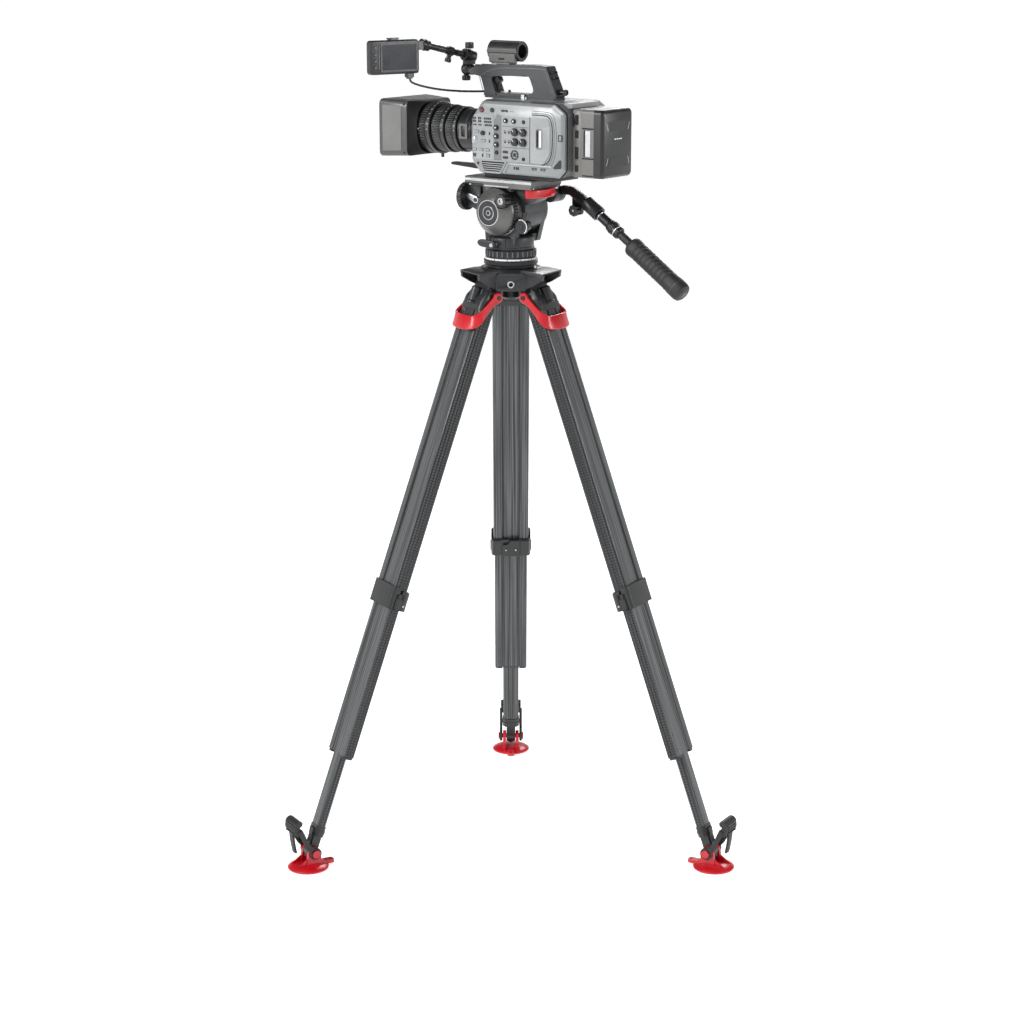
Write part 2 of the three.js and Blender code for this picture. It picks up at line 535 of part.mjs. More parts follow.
// The drum's origin is on the tilt axis, so the geometry is moved down by the axis height.
function tiltDrumGeometry() {
  const { drumLeft, drumRight, platformHalf, platformRear, platformFront } = HEAD;
  const frontBlock = outline([[20, 74], [48, 92, 10], [66, 104, 6], [DIAL.at[0] - GAP, 108, 4],
    [DIAL.at[0] - GAP, PLATFORM_TOP - 2], [20, PLATFORM_TOP - 2]]);
  const rearBlock = outline([[-78, 134, 5], [-30, 112], [-30, PLATFORM_TOP - 1], [-78, PLATFORM_TOP - 1]]);
  return shaped([
    barY(HEAD.drumRadius, drumRight, drumLeft, 0, HEAD.tiltHeight, 28),
    box(-50, 44, drumRight, drumLeft, HEAD.tiltHeight, PLATFORM_BOTTOM - GAP),
    box(-50, 44, -platformHalf, drumLeft, HEAD.tiltHeight, PLATFORM_TOP - 1),
    prismZ(
      roundedRect(platformFront - platformRear, 2 * platformHalf, 5, (platformFront + platformRear) / 2, 0),
      PLATFORM_BOTTOM, PLATFORM_TOP),
    prismY(frontBlock, -16, drumLeft),
    prismY(outline([[46, 110, 4], [DIAL.at[0] - GAP, 110, 4], [DIAL.at[0] - GAP, PLATFORM_TOP - 2],
      [46, PLATFORM_TOP - 2]]), -16, TILT_BRAKE_PIVOT[1] - GAP),
    prismY(rearBlock, -14, drumLeft),
    barZ(4, 137, PLATFORM_TOP - 2, ...LOCK_PIVOT, 16),
    box(-64, -46, drumRight, drumRight + 10, 128, PLATFORM_BOTTOM - GAP),
    barY(ROSETTE.radius, ROSETTE.outer, drumRight + 10, ...ROSETTE.at),
    barY(4, 30, TILT_BRAKE_PIVOT[1] + 6.5, TILT_BRAKE_PIVOT[0], TILT_BRAKE_PIVOT[2], 16),
  ], [
    barY(HEAD.axleRadius + GAP, drumRight - 10, drumLeft + 10, 0, HEAD.tiltHeight),
  ]).translate(0, 0, -HEAD.tiltHeight);
}

function dialGeometry() {
  return turnedX([[0, 0], [DIAL.radius - 2, 0], [DIAL.radius, 2], [DIAL.radius, DIAL.thickness - 3],
    [DIAL.radius - 3, DIAL.thickness], [0, DIAL.thickness]]);
}

// A flat teardrop lever in the (x, z) plane about its own pivot, pointing along an angle.
function teardrop(bossRadius, tipRadius, reach, angle, from, to, bore) {
  const shape = outline([[-bossRadius, 0, bossRadius], [-bossRadius * 0.7, -bossRadius, bossRadius],
    [bossRadius * 0.4, -bossRadius, 4], [reach, -tipRadius, tipRadius], [reach + tipRadius, 0, tipRadius],
    [reach, tipRadius, tipRadius], [bossRadius * 0.4, bossRadius, 4],
    [-bossRadius * 0.7, bossRadius, bossRadius]]);
  const blade = prismY(shape, from, to, 1);
  const body = [blade, barY(bossRadius, from, to, 0, 0, 20)];
  const cuts = bore > 0 ? [barY(bore, from - 1, to + 1, 0, 0, 12)] : [];
  return shaped(body, cuts).rotateY(-angle * RAD);
}

function levelLeverGeometry() {
  const arm = band([[0, 0], [-5, 12], [-8, 26]], 8);
  return shaped([barY(14, 0, 7.5, 0, 0, 20), prismY(arm, 0, 7.5)]);
}

function plateLockGeometry() {
  const [px, py] = LOCK_PIVOT;
  const grip = outline([[-79 - px, -20 - py], [-86 - px, -24 - py, 6], [-91 - px, 0 - py, 10],
    [-88 - px, 34 - py, 8], [-77 - px, 51 - py, 5], [-71 - px, 49 - py, 3], [-78 - px, 34 - py, 6],
    [-79.5 - px, 12 - py]].reverse());
  const [low, high] = [138, PLATFORM_BOTTOM - GAP];
  const pivotHole = barZ(4 + GAP, low - 1, high + 1, 0, 0, 12);
  return shaped([prismZ(grip, low, high, 1), barZ(9, low, high)], [pivotHole]);
}

function cameraPlateGeometry() {
  const bottom = PLATFORM_TOP + GAP;
  const { rear, front, half, height, lip, lipFront } = PLATE;
  const slab = roundedRect(front - rear, 2 * half, 3, (front + rear) / 2, 0);
  const rail = HEAD.platformHalf + GAP;
  return shaped([
    prismZ(slab, bottom, bottom + height, 1),
    box(rear + 4, lipFront, rail, half, bottom - lip, bottom + 1),
    box(rear + 4, lipFront, -half, -rail, bottom - lip, bottom + 1),
  ]);
}
const PLATE_TOP = PLATFORM_TOP + GAP + PLATE.height;

// Pan bar pieces: the bar group's X runs down the bar, its origin is where the bar leaves the arm.
function barBracketGeometry() {
  const [rx, rz] = ROSETTE.at;
  const [sx, sz] = BAR.start;
  const inner = ROSETTE.outer - GAP;
  const outer = 2 * BAR.offset - inner;
  const arm = band([[rx, rz + 2], [-82, 146], [-100, 145], [-122, 132], [sx + 6, sz - 2]], 17);
  const lug = outline([[-124, 128], [-124, 102, 5], [-103, 99, 6], [-102, 138]]);
  const slope = BAR.slope * RAD;
  const socket = barX(BAR.tubeRadius + 4.5, -20, 16).rotateY(slope).rotateZ(Math.PI)
    .translate(sx, BAR.offset, sz);
  const bore = barX(BAR.tubeRadius + GAP, -13, 30).rotateY(slope).rotateZ(Math.PI)
    .translate(sx, BAR.offset, sz);
  return shaped([barY(ROSETTE.radius, outer, inner, rx, rz), prismY(arm, outer, inner, 2), socket,
    prismY(lug, BAR.offset - 4, BAR.offset + 4)], [bore]).translate(-rx, 0, -rz);
}

function barTubeGeometry() {
  const radius = BAR.tubeRadius;
  const body = turnedX([[0, -12], [radius, -12], [radius, 44], [radius + 2.5, 46], [radius + 2.5, 73],
    [radius + 0.5, 75], [0, 75]], 18);
  return shaped([body], [barX(radius - BAR.tubeWall, BAR.boreStart, 80)]);
}

function barGripGeometry() {
  const end = 104 + BAR.gripLength;
  const radius = BAR.gripRadius;
  const rod = BAR.tubeRadius - BAR.tubeWall - GAP;
  return turnedX([[0, BAR.rodStart], [rod, BAR.rodStart], [rod, 104], [15, 105], [radius, 110],
    [radius - 1.5, 125], [radius - 1.5, 215], [radius, 224], [radius, end - 6], [radius - 5, end], [0, end]], 18);
}

// ---- camera: heights in the camera frame are counted from the top of the camera plate ------

function bodyOutline(inset) {
  const [r, f, b, t] = [CAM.rear + inset, CAM.front - inset, BODY_BOTTOM + inset, BODY_TOP - inset];
  return outline([[f - 20, b, 4], [f - 1.5, b + 21, 8], [f, CAM.lensHeight - 2, 60], [f - 1, t - 33, 10],
    [f - 18, t - 10, 8], [f - 26, t, 8], [r + 24, t, 10], [r, t - 16, 12], [r, b + 14, 8], [r + 14, b, 6]]
    .reverse());
}

function bodyGeometry() {
  const left = CAM.leftSide - CAM.panelThickness - GAP;
  const seat = barX(LENS.grooveRadius + GAP, CAM.front - 6, CAM.front + 10, 0, CAM.lensHeight, 20);
  return shaped([prismY(bodyOutline(0), CAM.rightSide, left, 5)], [seat]);
}

const RECORD_BUTTON = { at: [13, 128], radius: 4.5, depth: 5 };

function leftPanelGeometry() {
  const inner = CAM.leftSide - CAM.panelThickness;
  const pocket = barY(RECORD_BUTTON.radius + GAP, CAM.leftSide - RECORD_BUTTON.depth, CAM.leftSide + 9,
    ...RECORD_BUTTON.at, 20);
  return shaped([prismY(bodyOutline(3), inner, CAM.leftSide, 3)], [pocket]);
}

function adapterGeometry() {
  const top = GAP + CAM.adapterHeight;
  const profile = outline([[-130, GAP], [CAM.front - 12, GAP], [CAM.front + 8, 8], [139, 14, 2], [139, 19, 2],
    [CAM.front + 20, 19], [CAM.front + 6, 14], [CAM.front - 15, top], [-130, top]]);
  const full = prismY(profile, -38, 38);
  const beside = [8, -60].map((side) => box(CAM.front - 10, 160, side, side + 52, -5, 30));
  return shaped([full], beside);
}

function handleGeometry() {
  const outer = outline([[46, 0], [50, 6, 6], [61, 37.7, 8], [86, 40.7, 5], [89, 49.7, 5], [74, 55.7, 8],
    [40, 59.7, 20], [-60, 62.7, 20], [-92, 61.7, 5], [-117, 7.7, 5], [-111, 0, 3]].reverse());
  const opening = outline([[26, 8.7, 8], [38, 38.7, 8], [-53, 42.7, 10], [-67, 9.7, 10]].reverse());
  return shaped([prismY(outer, -HANDLE.half, HANDLE.half, 3)], [prismY(opening, -60, 60)])
    .translate(0, 0, BODY_TOP + GAP);
}

function micHolderGeometry() {
  const { outer, bore, rear, front, height } = MIC;
  const stem = box(-5, 35, -10, 10, BODY_TOP + HANDLE.height, height - outer + 4);
  return shaped([barX(outer, rear, front, 0, height, 24), stem],
    [barX(bore, rear - 1, front + 1, 0, height, 24)]);
}

function barrelGeometry() {
  const { mountRadius: m, mountEnd, grooveRadius: g, frontStart, frontRadius: f, frontEnd } = LENS;
  return turnedX([[0, CAM.front - 5], [g - GAP, CAM.front - 5], [g - GAP, CAM.front + GAP],
    [m - 2, CAM.front + GAP], [m, CAM.front + 3], [m, mountEnd], [g, mountEnd], [g, frontStart],
    [f - 1, frontStart], [f, frontStart + 2], [f, frontEnd - 1], [f - 4, frontEnd], [f - 8, frontEnd],
    [f - 10, frontEnd - 7], [0, frontEnd - 9]], 20);
}

function lensRingGeometry([from, to, radius]) {
  const shape = new THREE.Shape();
  shape.absarc(0, 0, radius, 0, 2 * Math.PI, false);
  shape.holes.push(circlePath(LENS.grooveRadius + GAP));
  return prismZ(shape, from, to, 0, RING_FACETS).rotateY(Math.PI / 2);
}

function rectRing(x, [halfY, halfZ], corner, perCorner = 3) {
  const ring = [];
  const centres = [[1, 1, 0], [-1, 1, 90], [-1, -1, 180], [1, -1, 270]];
  for (const [sy, sz, start] of centres) {
    for (let i = 0; i <= perCorner; i += 1) {
      const angle = (start + 90 * i / perCorner) * RAD;
      const y = sy * (halfY - corner) + corner * Math.cos(angle);
      const z = sz * (halfZ - corner) + corner * Math.sin(angle);
      ring.push([x, y, z]);
    }
  }
  return ring;
}

function hoodGeometry() {
  const { neckX, backX, frontX, neckRadius, backHalf, frontHalf, wall } = HOOD;
  const shrink = ([a, b]) => [a - wall, b - wall];
  const outer = loft([
    rectRing(neckX, [neckRadius, HOOD.backHalf[1] - 2], HOOD.backHalf[1] - 3),
    rectRing(backX, backHalf, 12), rectRing(frontX, frontHalf, 12)]);
  const hollow = loft([
    rectRing(backX + 4, shrink(backHalf), 10), rectRing(frontX + 2, shrink(frontHalf), 10)]);
  return shaped([outer], [hollow, barX(LENS.frontRadius + GAP, neckX - 5, LENS.frontEnd + GAP, 0, 0, 20)]);
}

const BATTERY_FACE = CAM.rear - GAP - BATTERY.adapterDepth;

// The wedge that the battery drops into; the slot in the adapter is open at the top.
function wedge(grow, top) {
  const depth = 5 + grow;
  const shape = outline([[BATTERY_FACE - 3, -15 - grow], [BATTERY_FACE + depth, -22 - grow],
    [BATTERY_FACE + depth, 22 + grow], [BATTERY_FACE - 3, 15 + grow]]);
  return prismZ(shape, 40 - grow, top);
}

function batteryAdapterGeometry() {
  const { half, bottom, top } = BATTERY;
  const slab = prismX(roundedRect(2 * half - 2, top - bottom, 4, 0, (top + bottom) / 2),
    BATTERY_FACE, CAM.rear - GAP, 1);
  return shaped([slab], [wedge(GAP, top + 5)]);
}

function batteryGeometry() {
  const { half, bottom, top } = BATTERY;
  const face = BATTERY_FACE - GAP;
  const pack = prismX(roundedRect(2 * half, top - bottom, 6, 0, (top + bottom) / 2),
    face - BATTERY.depth, face, 3);
  return shaped([pack, wedge(0, 105)]);
}

function rodDirection() {
  return new THREE.Vector3(...ROD.direction).normalize();
}

// A round bar along the monitor rod, between two distances from the clamp.
function rodBar(radius, from, to, sides = ROUND) {
  const turn = new THREE.Quaternion().setFromUnitVectors(new THREE.Vector3(1, 0, 0), rodDirection());
  return barX(radius, from, to, 0, 0, sides).applyQuaternion(turn).translate(...ROD.centre);
}

function rodClampGeometry() {
  const [x, , z] = ROD.centre;
  return shaped([rodBar(11, -13, 13), box(x - 11, x + 9, -10, 10, z - 15, z + 11.5),
    new THREE.SphereGeometry(12, 10, 6).translate(x + 4, 0, z - 25), barZ(5, z - 46, z - 20, x + 6, 0, 16),
    barZ(8, z - 46, z - 38, x + 6, 0, 16),
    barX(9, 89 + GAP, x + 2, 0, z - 26, 20),
  ], [rodBar(ROD.radius + GAP, -40, 40)]);
}

function clampKnobGeometry() {
  return ribbedRing(8, 0, 0, 12, 10, 1);
}

function monitorPlacement() {
  const group = new THREE.Group();
  group.position.set(...MONITOR.centre);
  group.rotation.z = MONITOR.turn * RAD;
  group.updateMatrixWorld(true);
  return group;
}

// Built in the camera frame, then moved so that its origin is the hinge point on the rod's end.
function monitorGeometry(hinge) {
  const { width, height, depth } = MONITOR;
  const place = monitorPlacement().matrixWorld;
  const shell = prismX(roundedRect(width, height, 5), -depth / 2, depth / 2, 2).applyMatrix4(place);
  const lug = box(-6, 8, -width / 2 - 11, -width / 2 + 2, 11, 27).applyMatrix4(place);
  const port = box(-5, 6, -44, -30, -height / 2 - 7, -height / 2 + 2).applyMatrix4(place);
  const shoe = box(-6, 6, -8, 8, height / 2 - 1, height / 2 + 3).applyMatrix4(place);
  const end = ROD.back + ROD.length;
  const socket = rodBar(ROD.radius + GAP, end - 60, end + GAP);
  return shaped([shell, lug, port, shoe, rodBar(10, end - 14, end + 5)], [socket])
    .translate(...hinge.map((v) => -v));
}

// The cable's route in the camera frame, from the monitor's port to the foot of the handle.
const CABLE_ROUTE = [
  [130, 138, 37.5], [128, 134, 30], [119, 112, 22], [104, 80, 15], [84, 46, 11], [66, 22, 10], [54, 10, 10],
].map(([x, y, above]) => [x, y, BODY_TOP + above]);

function cableGeometry() {
  const curve = new THREE.CatmullRomCurve3(CABLE_ROUTE.map((p) => new THREE.Vector3(...p)));
  const circle = new THREE.Shape();
  circle.absarc(0, 0, CABLE_RADIUS, 0, 2 * Math.PI, false);
  return new THREE.ExtrudeGeometry(circle, { extrudePath: curve, steps: 20, curveSegments: 4 });
}

// ---- assembly -----------------------------------------------------------------------------

function makeHead() {
  const head = new THREE.Group();
  head.position.z = RIM_Z;
  head.rotation.z = HEAD.yaw * RAD;
  add(head, 'level_base', levelBaseGeometry(), BLACK_METAL);
  const dragRing = ribbedRing(HEAD.dragRadius, HEAD.bossRadius + GAP, 0, HEAD.dragHeight - GAP, 24, 2);
  add(head, 'pan_drag_ring', dragRing,
    BLACK_PLASTIC, [0, 0, SCALE_TOP + GAP]);
  add(head, 'pan_housing', panHousingGeometry(), DARK_GREY);
  add(head, 'level_lever', levelLeverGeometry(), BLACK_PLASTIC,
    [LEVEL_PIVOT[0], LEFT_CHEEK_OUT + 4 + GAP, LEVEL_PIVOT[1]]);
  add(head, 'pan_brake_lever', teardrop(9, 6, 27, 8, 0, 7, 0), DARK_GREY,
    [PAN_BRAKE_PIVOT[0], 51 + GAP, PAN_BRAKE_PIVOT[1]]);
  add(head, 'side_cap', sideCapGeometry(), MID_GREY);
  const tiltRing = ribbedRing(HEAD.tiltRingRadius, CAP_STUB.radius + GAP, 0, HEAD.tiltRingWidth, 24, 1)
    .rotateX(-Math.PI / 2);
  add(head, 'tilt_drag_ring', tiltRing, BLACK_PLASTIC, [0, TILT_RING_IN, HEAD.tiltHeight]);
  const knob = ribbedRing(SIDE_KNOB.radius, 0, 0, SIDE_KNOB.length, 12, 1.5).rotateX(-Math.PI / 2);
  add(head, 'side_knob', knob, BLACK_PLASTIC,
    [SIDE_KNOB.at[0], TILT_RING_OUT + 3 + 2 * GAP, SIDE_KNOB.at[1]]);
  add(head, 'tilt_drum', tiltDrumGeometry(), DARK_GREY, [0, 0, HEAD.tiltHeight]);
  add(head, 'counterbalance_dial', dialGeometry(), BLACK_PLASTIC, DIAL.at);
  add(head, 'tilt_brake_lever', teardrop(7, 5, 17, 20, 0, 6, 4 + GAP), SILVER, TILT_BRAKE_PIVOT);
  add(head, 'plate_lock_lever', plateLockGeometry(), RED, [...LOCK_PIVOT, 0]);
  add(head, 'camera_plate', cameraPlateGeometry(), MID_GREY);
  addPanBar(head);
  head.add(makeCamera());
  return head;
}

function addPanBar(head) {
  add(head, 'pan_bar_bracket', barBracketGeometry(), BLACK_METAL, [ROSETTE.at[0], 0, ROSETTE.at[1]]);
  const knob = ribbedRing(11, 0, 0, 12, 10, 1.5).rotateX(-Math.PI / 2);
  add(head, 'pan_bar_clamp_knob', knob, BLACK_PLASTIC, [-113, BAR.offset + 4 + GAP, 110]);
  const bar = new THREE.Group();
  bar.position.set(BAR.start[0], BAR.offset, BAR.start[1]);
  bar.rotation.set(0, BAR.slope * RAD, Math.PI, 'ZYX');
  add(bar, 'pan_bar_tube', barTubeGeometry(), BLACK_METAL);
  add(bar, 'pan_bar_grip', barGripGeometry(), RUBBER);
  head.add(bar);
}

function makeCamera() {
  const camera = new THREE.Group();
  camera.position.z = PLATE_TOP;
  add(camera, 'base_adapter', adapterGeometry(), BLACK_METAL);
  add(camera, 'camera_body', bodyGeometry(), DARK_GREY);
  add(camera, 'camera_left_panel', leftPanelGeometry(), BODY_SILVER);
  const button = barY(RECORD_BUTTON.radius, -RECORD_BUTTON.depth + 2, 1.6, 0, 0, 20);
  add(camera, 'record_button', button, RED, [RECORD_BUTTON.at[0], CAM.leftSide, RECORD_BUTTON.at[1]]);
  add(camera, 'top_handle', handleGeometry(), DARK_GREY);
  add(camera, 'mic_holder', micHolderGeometry(), BLACK_PLASTIC);
  add(camera, 'battery_adapter', batteryAdapterGeometry(), MID_GREY);
  add(camera, 'battery', batteryGeometry(), BLACK_PLASTIC);
  addLens(camera);
  addMonitor(camera);
  return camera;
}

function addLens(camera) {
  const axis = [0, 0, CAM.lensHeight];
  add(camera, 'lens_barrel', barrelGeometry(), BLACK_METAL, axis);
  for (const [name, size] of Object.entries(LENS.ring)) {
    add(camera, `${name}_ring`, lensRingGeometry(size), BLACK_PLASTIC, axis);
  }
  add(camera, 'lens_hood', hoodGeometry(), BLACK_PLASTIC, axis);
}

function addMonitor(camera) {
  const [x, , z] = ROD.centre;
  add(camera, 'rod_clamp', rodClampGeometry(), BLACK_METAL);
  add(camera, 'rod_clamp_knob', clampKnobGeometry(), BLACK_PLASTIC, [x - 2, 0, z + 13]);
  add(camera, 'monitor_rod', rodBar(ROD.radius, ROD.back, ROD.back + ROD.length), DARK_GREY);
  const end = ROD.back + ROD.length;
  const hinge = new THREE.Vector3(...ROD.centre).addScaledVector(rodDirection(), end - 4).toArray();
  add(camera, 'monitor', monitorGeometry(hinge), BLACK_PLASTIC, hinge);
  add(camera, 'monitor_cable', cableGeometry(), RUBBER);
}

const model = new THREE.Group();
model.position.y = ORIGIN_SHIFT;
for (const [name, azimuth] of Object.entries(LEG.azimuths)) model.add(...makeLeg(name, azimuth));
const hub = new THREE.Group();
hub.position.z = HINGE_Z;
add(hub, 'hub_casting', hubGeometry(), BLACK_METAL);
model.add(hub);
model.add(makeHead());

export default model;
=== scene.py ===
"""Looks of the camcorder on its fluid head and carbon tripod.

Every piece is built in millimetres in one of the frames below and rides on a CAD body.
rig: origin on the bowl rim, X is the lens direction, Y the camera's left, Z up.
leg: origin on the hinge pin, X outward, Y across the leg, -Z down the leg.
"""
import json
import math

import bmesh
import bpy
from mathutils import Matrix, Vector
from mathutils.geometry import tessellate_polygon


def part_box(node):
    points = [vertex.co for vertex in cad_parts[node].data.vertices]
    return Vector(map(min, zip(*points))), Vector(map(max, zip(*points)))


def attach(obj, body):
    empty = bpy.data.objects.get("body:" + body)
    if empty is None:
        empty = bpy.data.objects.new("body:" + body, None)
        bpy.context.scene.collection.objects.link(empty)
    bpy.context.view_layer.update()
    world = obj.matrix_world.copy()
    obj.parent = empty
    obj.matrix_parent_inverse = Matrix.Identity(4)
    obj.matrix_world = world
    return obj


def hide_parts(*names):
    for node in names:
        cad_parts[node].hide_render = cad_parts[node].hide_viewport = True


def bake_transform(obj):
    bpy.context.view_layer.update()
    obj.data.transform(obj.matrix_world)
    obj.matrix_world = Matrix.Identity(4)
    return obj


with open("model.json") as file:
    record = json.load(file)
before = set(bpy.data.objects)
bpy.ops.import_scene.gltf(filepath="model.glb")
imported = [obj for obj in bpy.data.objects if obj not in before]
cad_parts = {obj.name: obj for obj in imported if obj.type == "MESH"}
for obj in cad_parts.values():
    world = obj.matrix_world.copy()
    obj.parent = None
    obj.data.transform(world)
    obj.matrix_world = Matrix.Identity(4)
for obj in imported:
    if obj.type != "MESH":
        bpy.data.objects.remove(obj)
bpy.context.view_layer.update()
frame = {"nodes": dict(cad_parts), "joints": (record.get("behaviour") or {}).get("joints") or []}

MM = 0.001
JOINTS = {j["name"]: j for j in frame["joints"]}
LEGS = ("left", "right", "back")
UP = Vector((0, 0, 1))


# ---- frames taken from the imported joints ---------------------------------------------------

def placed(origin, y, z):
    y, z = Vector(y).normalized(), Vector(z).normalized()
    m = Matrix((y.cross(z), y, z)).transposed().to_4x4()
    m.translation = Vector(origin)
    return m


def moved(base, x, y, z):
    return base @ Matrix.Translation(Vector((x, y, z)) * MM)


def turned(base, axis, degrees):
    return base @ Matrix.Rotation(math.radians(degrees), 4, axis)


RIG = placed(JOINTS["head_level"]["pos_m"], JOINTS["tilt"]["axis"], UP)
PLATE_TOP = (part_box("camera_plate")[1].z - RIG.translation.z) / MM
TILT_Z = (JOINTS["tilt"]["pos_m"][2] - RIG.translation.z) / MM
CAMERA = moved(RIG, 0, 0, PLATE_TOP)
LENS = RIG.copy()
LENS.translation = Vector(JOINTS["iris_turn"]["pos_m"])
BAR_START = moved(RIG, -150, -60, 114).translation
BAR_Y = -RIG.col[1].to_3d()
BAR = placed(BAR_START, BAR_Y, Vector(JOINTS["pan_bar_extend"]["axis"]).cross(BAR_Y))
LEG, FOOT, BAIL = {}, {}, {}
for side in LEGS:
    across = JOINTS[f"{side}_leg_spread"]["axis"]
    up_leg = -Vector(JOINTS[f"{side}_middle_extend"]["axis"])
    LEG[side] = placed(JOINTS[f"{side}_leg_spread"]["pos_m"], across, up_leg)
    BAIL[side] = placed(JOINTS[f"{side}_brake_release"]["pos_m"], across, up_leg)
    FOOT[side] = placed(JOINTS[f"{side}_foot_tilt"]["pos_m"], across, UP)


# ---- outlines and solids -------------------------------------------------------------------

def rounded(corners, steps=6):
    """A closed outline from (x, y) or (x, y, radius) corners."""
    points = []
    count = len(corners)
    for i, corner in enumerate(corners):
        here = Vector(corner[:2])
        radius = corner[2] if len(corner) > 2 else 0
        before = Vector(corners[i - 1][:2]) - here
        after = Vector(corners[(i + 1) % count][:2]) - here
        if radius <= 0:
            points.append(here)
            continue
        half = before.angle(after) / 2
        cut = min(radius / math.tan(half), 0.49 * before.length, 0.49 * after.length)
        a = here + before.normalized() * cut
        b = here + after.normalized() * cut
        for k in range(steps + 1):
            t = k / steps
            points.append(a.lerp(here, t).lerp(here.lerp(b, t), t))
    return points


def rect(width, height, radius=0, cx=0, cy=0, steps=6):
    w, h = width / 2, height / 2
    return rounded([(cx - w, cy - h, radius), (cx + w, cy - h, radius),
                    (cx + w, cy + h, radius), (cx - w, cy + h, radius)], steps)


def circle(radius, cx=0, cy=0, sides=32):
    step = 2 * math.pi / sides
    return [Vector((cx + radius * math.cos(i * step), cy + radius * math.sin(i * step)))
            for i in range(sides)]


def lift(axis, u, v, w):
    """The point at w along an axis and (u, v) across it."""
    return {"x": (w, u, v), "y": (u, w, v), "z": (u, v, w)}[axis]


class Shape:
    """Closed solids in millimetres that together make one piece."""

    def __init__(self):
        self.bm = bmesh.new()
        self.at()

    def at(self, x=0, y=0, z=0, axis="Z", degrees=0):
        """Turns and places the solids that are added from now on."""
        self.turn = Matrix.Translation((x, y, z)) @ Matrix.Rotation(math.radians(degrees), 4, axis)
        return self

    def mesh(self, points, faces):
        verts = [self.bm.verts.new(self.turn @ Vector(p)) for p in points]
        for face in faces:
            self.bm.faces.new([verts[i] for i in face])
        return self

    def prism(self, axis, outer, start, end, holes=()):
        loops = [outer, *holes]
        flat = [p for loop in loops for p in loop]
        tris = tessellate_polygon([[Vector((p[0], p[1], 0)) for p in loop] for loop in loops])
        n = len(flat)
        points = [lift(axis, p[0], p[1], w) for w in (start, end) for p in flat]
        faces = [tuple(t) for t in tris] + [tuple(i + n for i in t) for t in tris]
        base = 0
        for loop in loops:
            count = len(loop)
            for i in range(count):
                a, b = base + i, base + (i + 1) % count
                faces.append((a, b, b + n, a + n))
            base += count
        return self.mesh(points, faces)

    def box(self, x0, x1, y0, y1, z0, z1):
        return self.prism("z", [(x0, y0), (x1, y0), (x1, y1), (x0, y1)], z0, z1)

    def lathe(self, axis, profile, sides=64, u=0, v=0, ribs=None):
        """Turns (radius, height) points. ribs is (count, depth, first point, last point)."""
        points, rings = [], []
        for k, (radius, height) in enumerate(profile):
            if radius == 0:
                rings.append([len(points)] * sides)
                points.append(lift(axis, u, v, height))
                continue
            rings.append(list(range(len(points), len(points) + sides)))
            for i in range(sides):
                angle = 2 * math.pi * i / sides
                r = radius
                if ribs and ribs[2] <= k <= ribs[3]:
                    wave = 0.5 + 1.4 * math.cos(ribs[0] * angle)
                    r -= ribs[1] * (1 - min(1, max(0, wave)))
                points.append(lift(axis, u + r * math.cos(angle), v + r * math.sin(angle), height))
        pairs = list(zip(rings, rings[1:]))
        if profile[0][0] > 0:
            pairs.append((rings[-1], rings[0]))
        faces = []
        for low, high in pairs:
            for i in range(sides):
                j = (i + 1) % sides
                face = list(dict.fromkeys((low[i], low[j], high[j], high[i])))
                if len(face) > 2:
                    faces.append(face)
        return self.mesh(points, faces)

    def rod(self, axis, radius, start, end, u=0, v=0, edge=0.5, sides=32):
        return self.lathe(axis, [(0, start), (radius - edge, start), (radius, start + edge),
                                 (radius, end - edge), (radius - edge, end), (0, end)], sides, u, v)

    def ring(self, axis, outer, inner, start, end, u=0, v=0, sides=64, ribs=None, edge=0.5):
        profile = [(inner, start), (outer - edge, start), (outer, start + edge),
                   (outer, end - edge), (outer - edge, end), (inner, end)]
        return self.lathe(axis, profile, sides, u, v, ribs and (*ribs, 2, 3))

    def ball(self, radius, x, y, z):
        steps = 12
        arc = [(radius * math.sin(math.pi * i / steps), -radius * math.cos(math.pi * i / steps) + z)
               for i in range(1, steps)]
        return self.lathe("z", [(0, z - radius), *arc, (0, z + radius)], 24, x, y)

    def loft(self, rings):
        n = len(rings[0])
        faces = [tuple(range(n)), tuple(range((len(rings) - 1) * n, len(rings) * n))]
        for k in range(len(rings) - 1):
            for i in range(n):
                j = (i + 1) % n
                faces.append((k * n + i, k * n + j, (k + 1) * n + j, (k + 1) * n + i))
        return self.mesh([p for ring in rings for p in ring], faces)

    def strap(self, path, half, thick, normals, steps=8):
        """A band of smooth section along a path: half heights, half thicknesses, outward normals."""
        rows = smooth([(*p, h, t, *n) for p, h, t, n in zip(path, half, thick, normals)], steps)
        rings = []
        for i, row in enumerate(rows):
            ahead = Vector(rows[min(i + 1, len(rows) - 1)][:3]) - Vector(rows[max(i - 1, 0)][:3])
            out = Vector(row[5:8]).normalized()
            high = ahead.normalized().cross(out).normalized()
            section = rect(2 * row[4], 2 * row[3], min(row[4], row[3]) * 0.8, steps=3)
            rings.append([Vector(row[:3]) + out * p[0] + high * p[1] for p in section])
        return self.loft(rings)

    def tube(self, path, radius, sides=16, steps=6):
        rows = smooth(path, steps) if steps > 1 else [Vector(p) for p in path]
        rings = []
        out = None
        for i, row in enumerate(rows):
            here = Vector(row[:3])
            ahead = (Vector(rows[min(i + 1, len(rows) - 1)][:3])
                     - Vector(rows[max(i - 1, 0)][:3])).normalized()
            out = (out - ahead * out.dot(ahead)).normalized() if out else ahead.orthogonal().normalized()
            high = ahead.cross(out)
            rings.append([here + out * p[0] + high * p[1] for p in circle(radius, sides=sides)])
        return self.loft(rings)


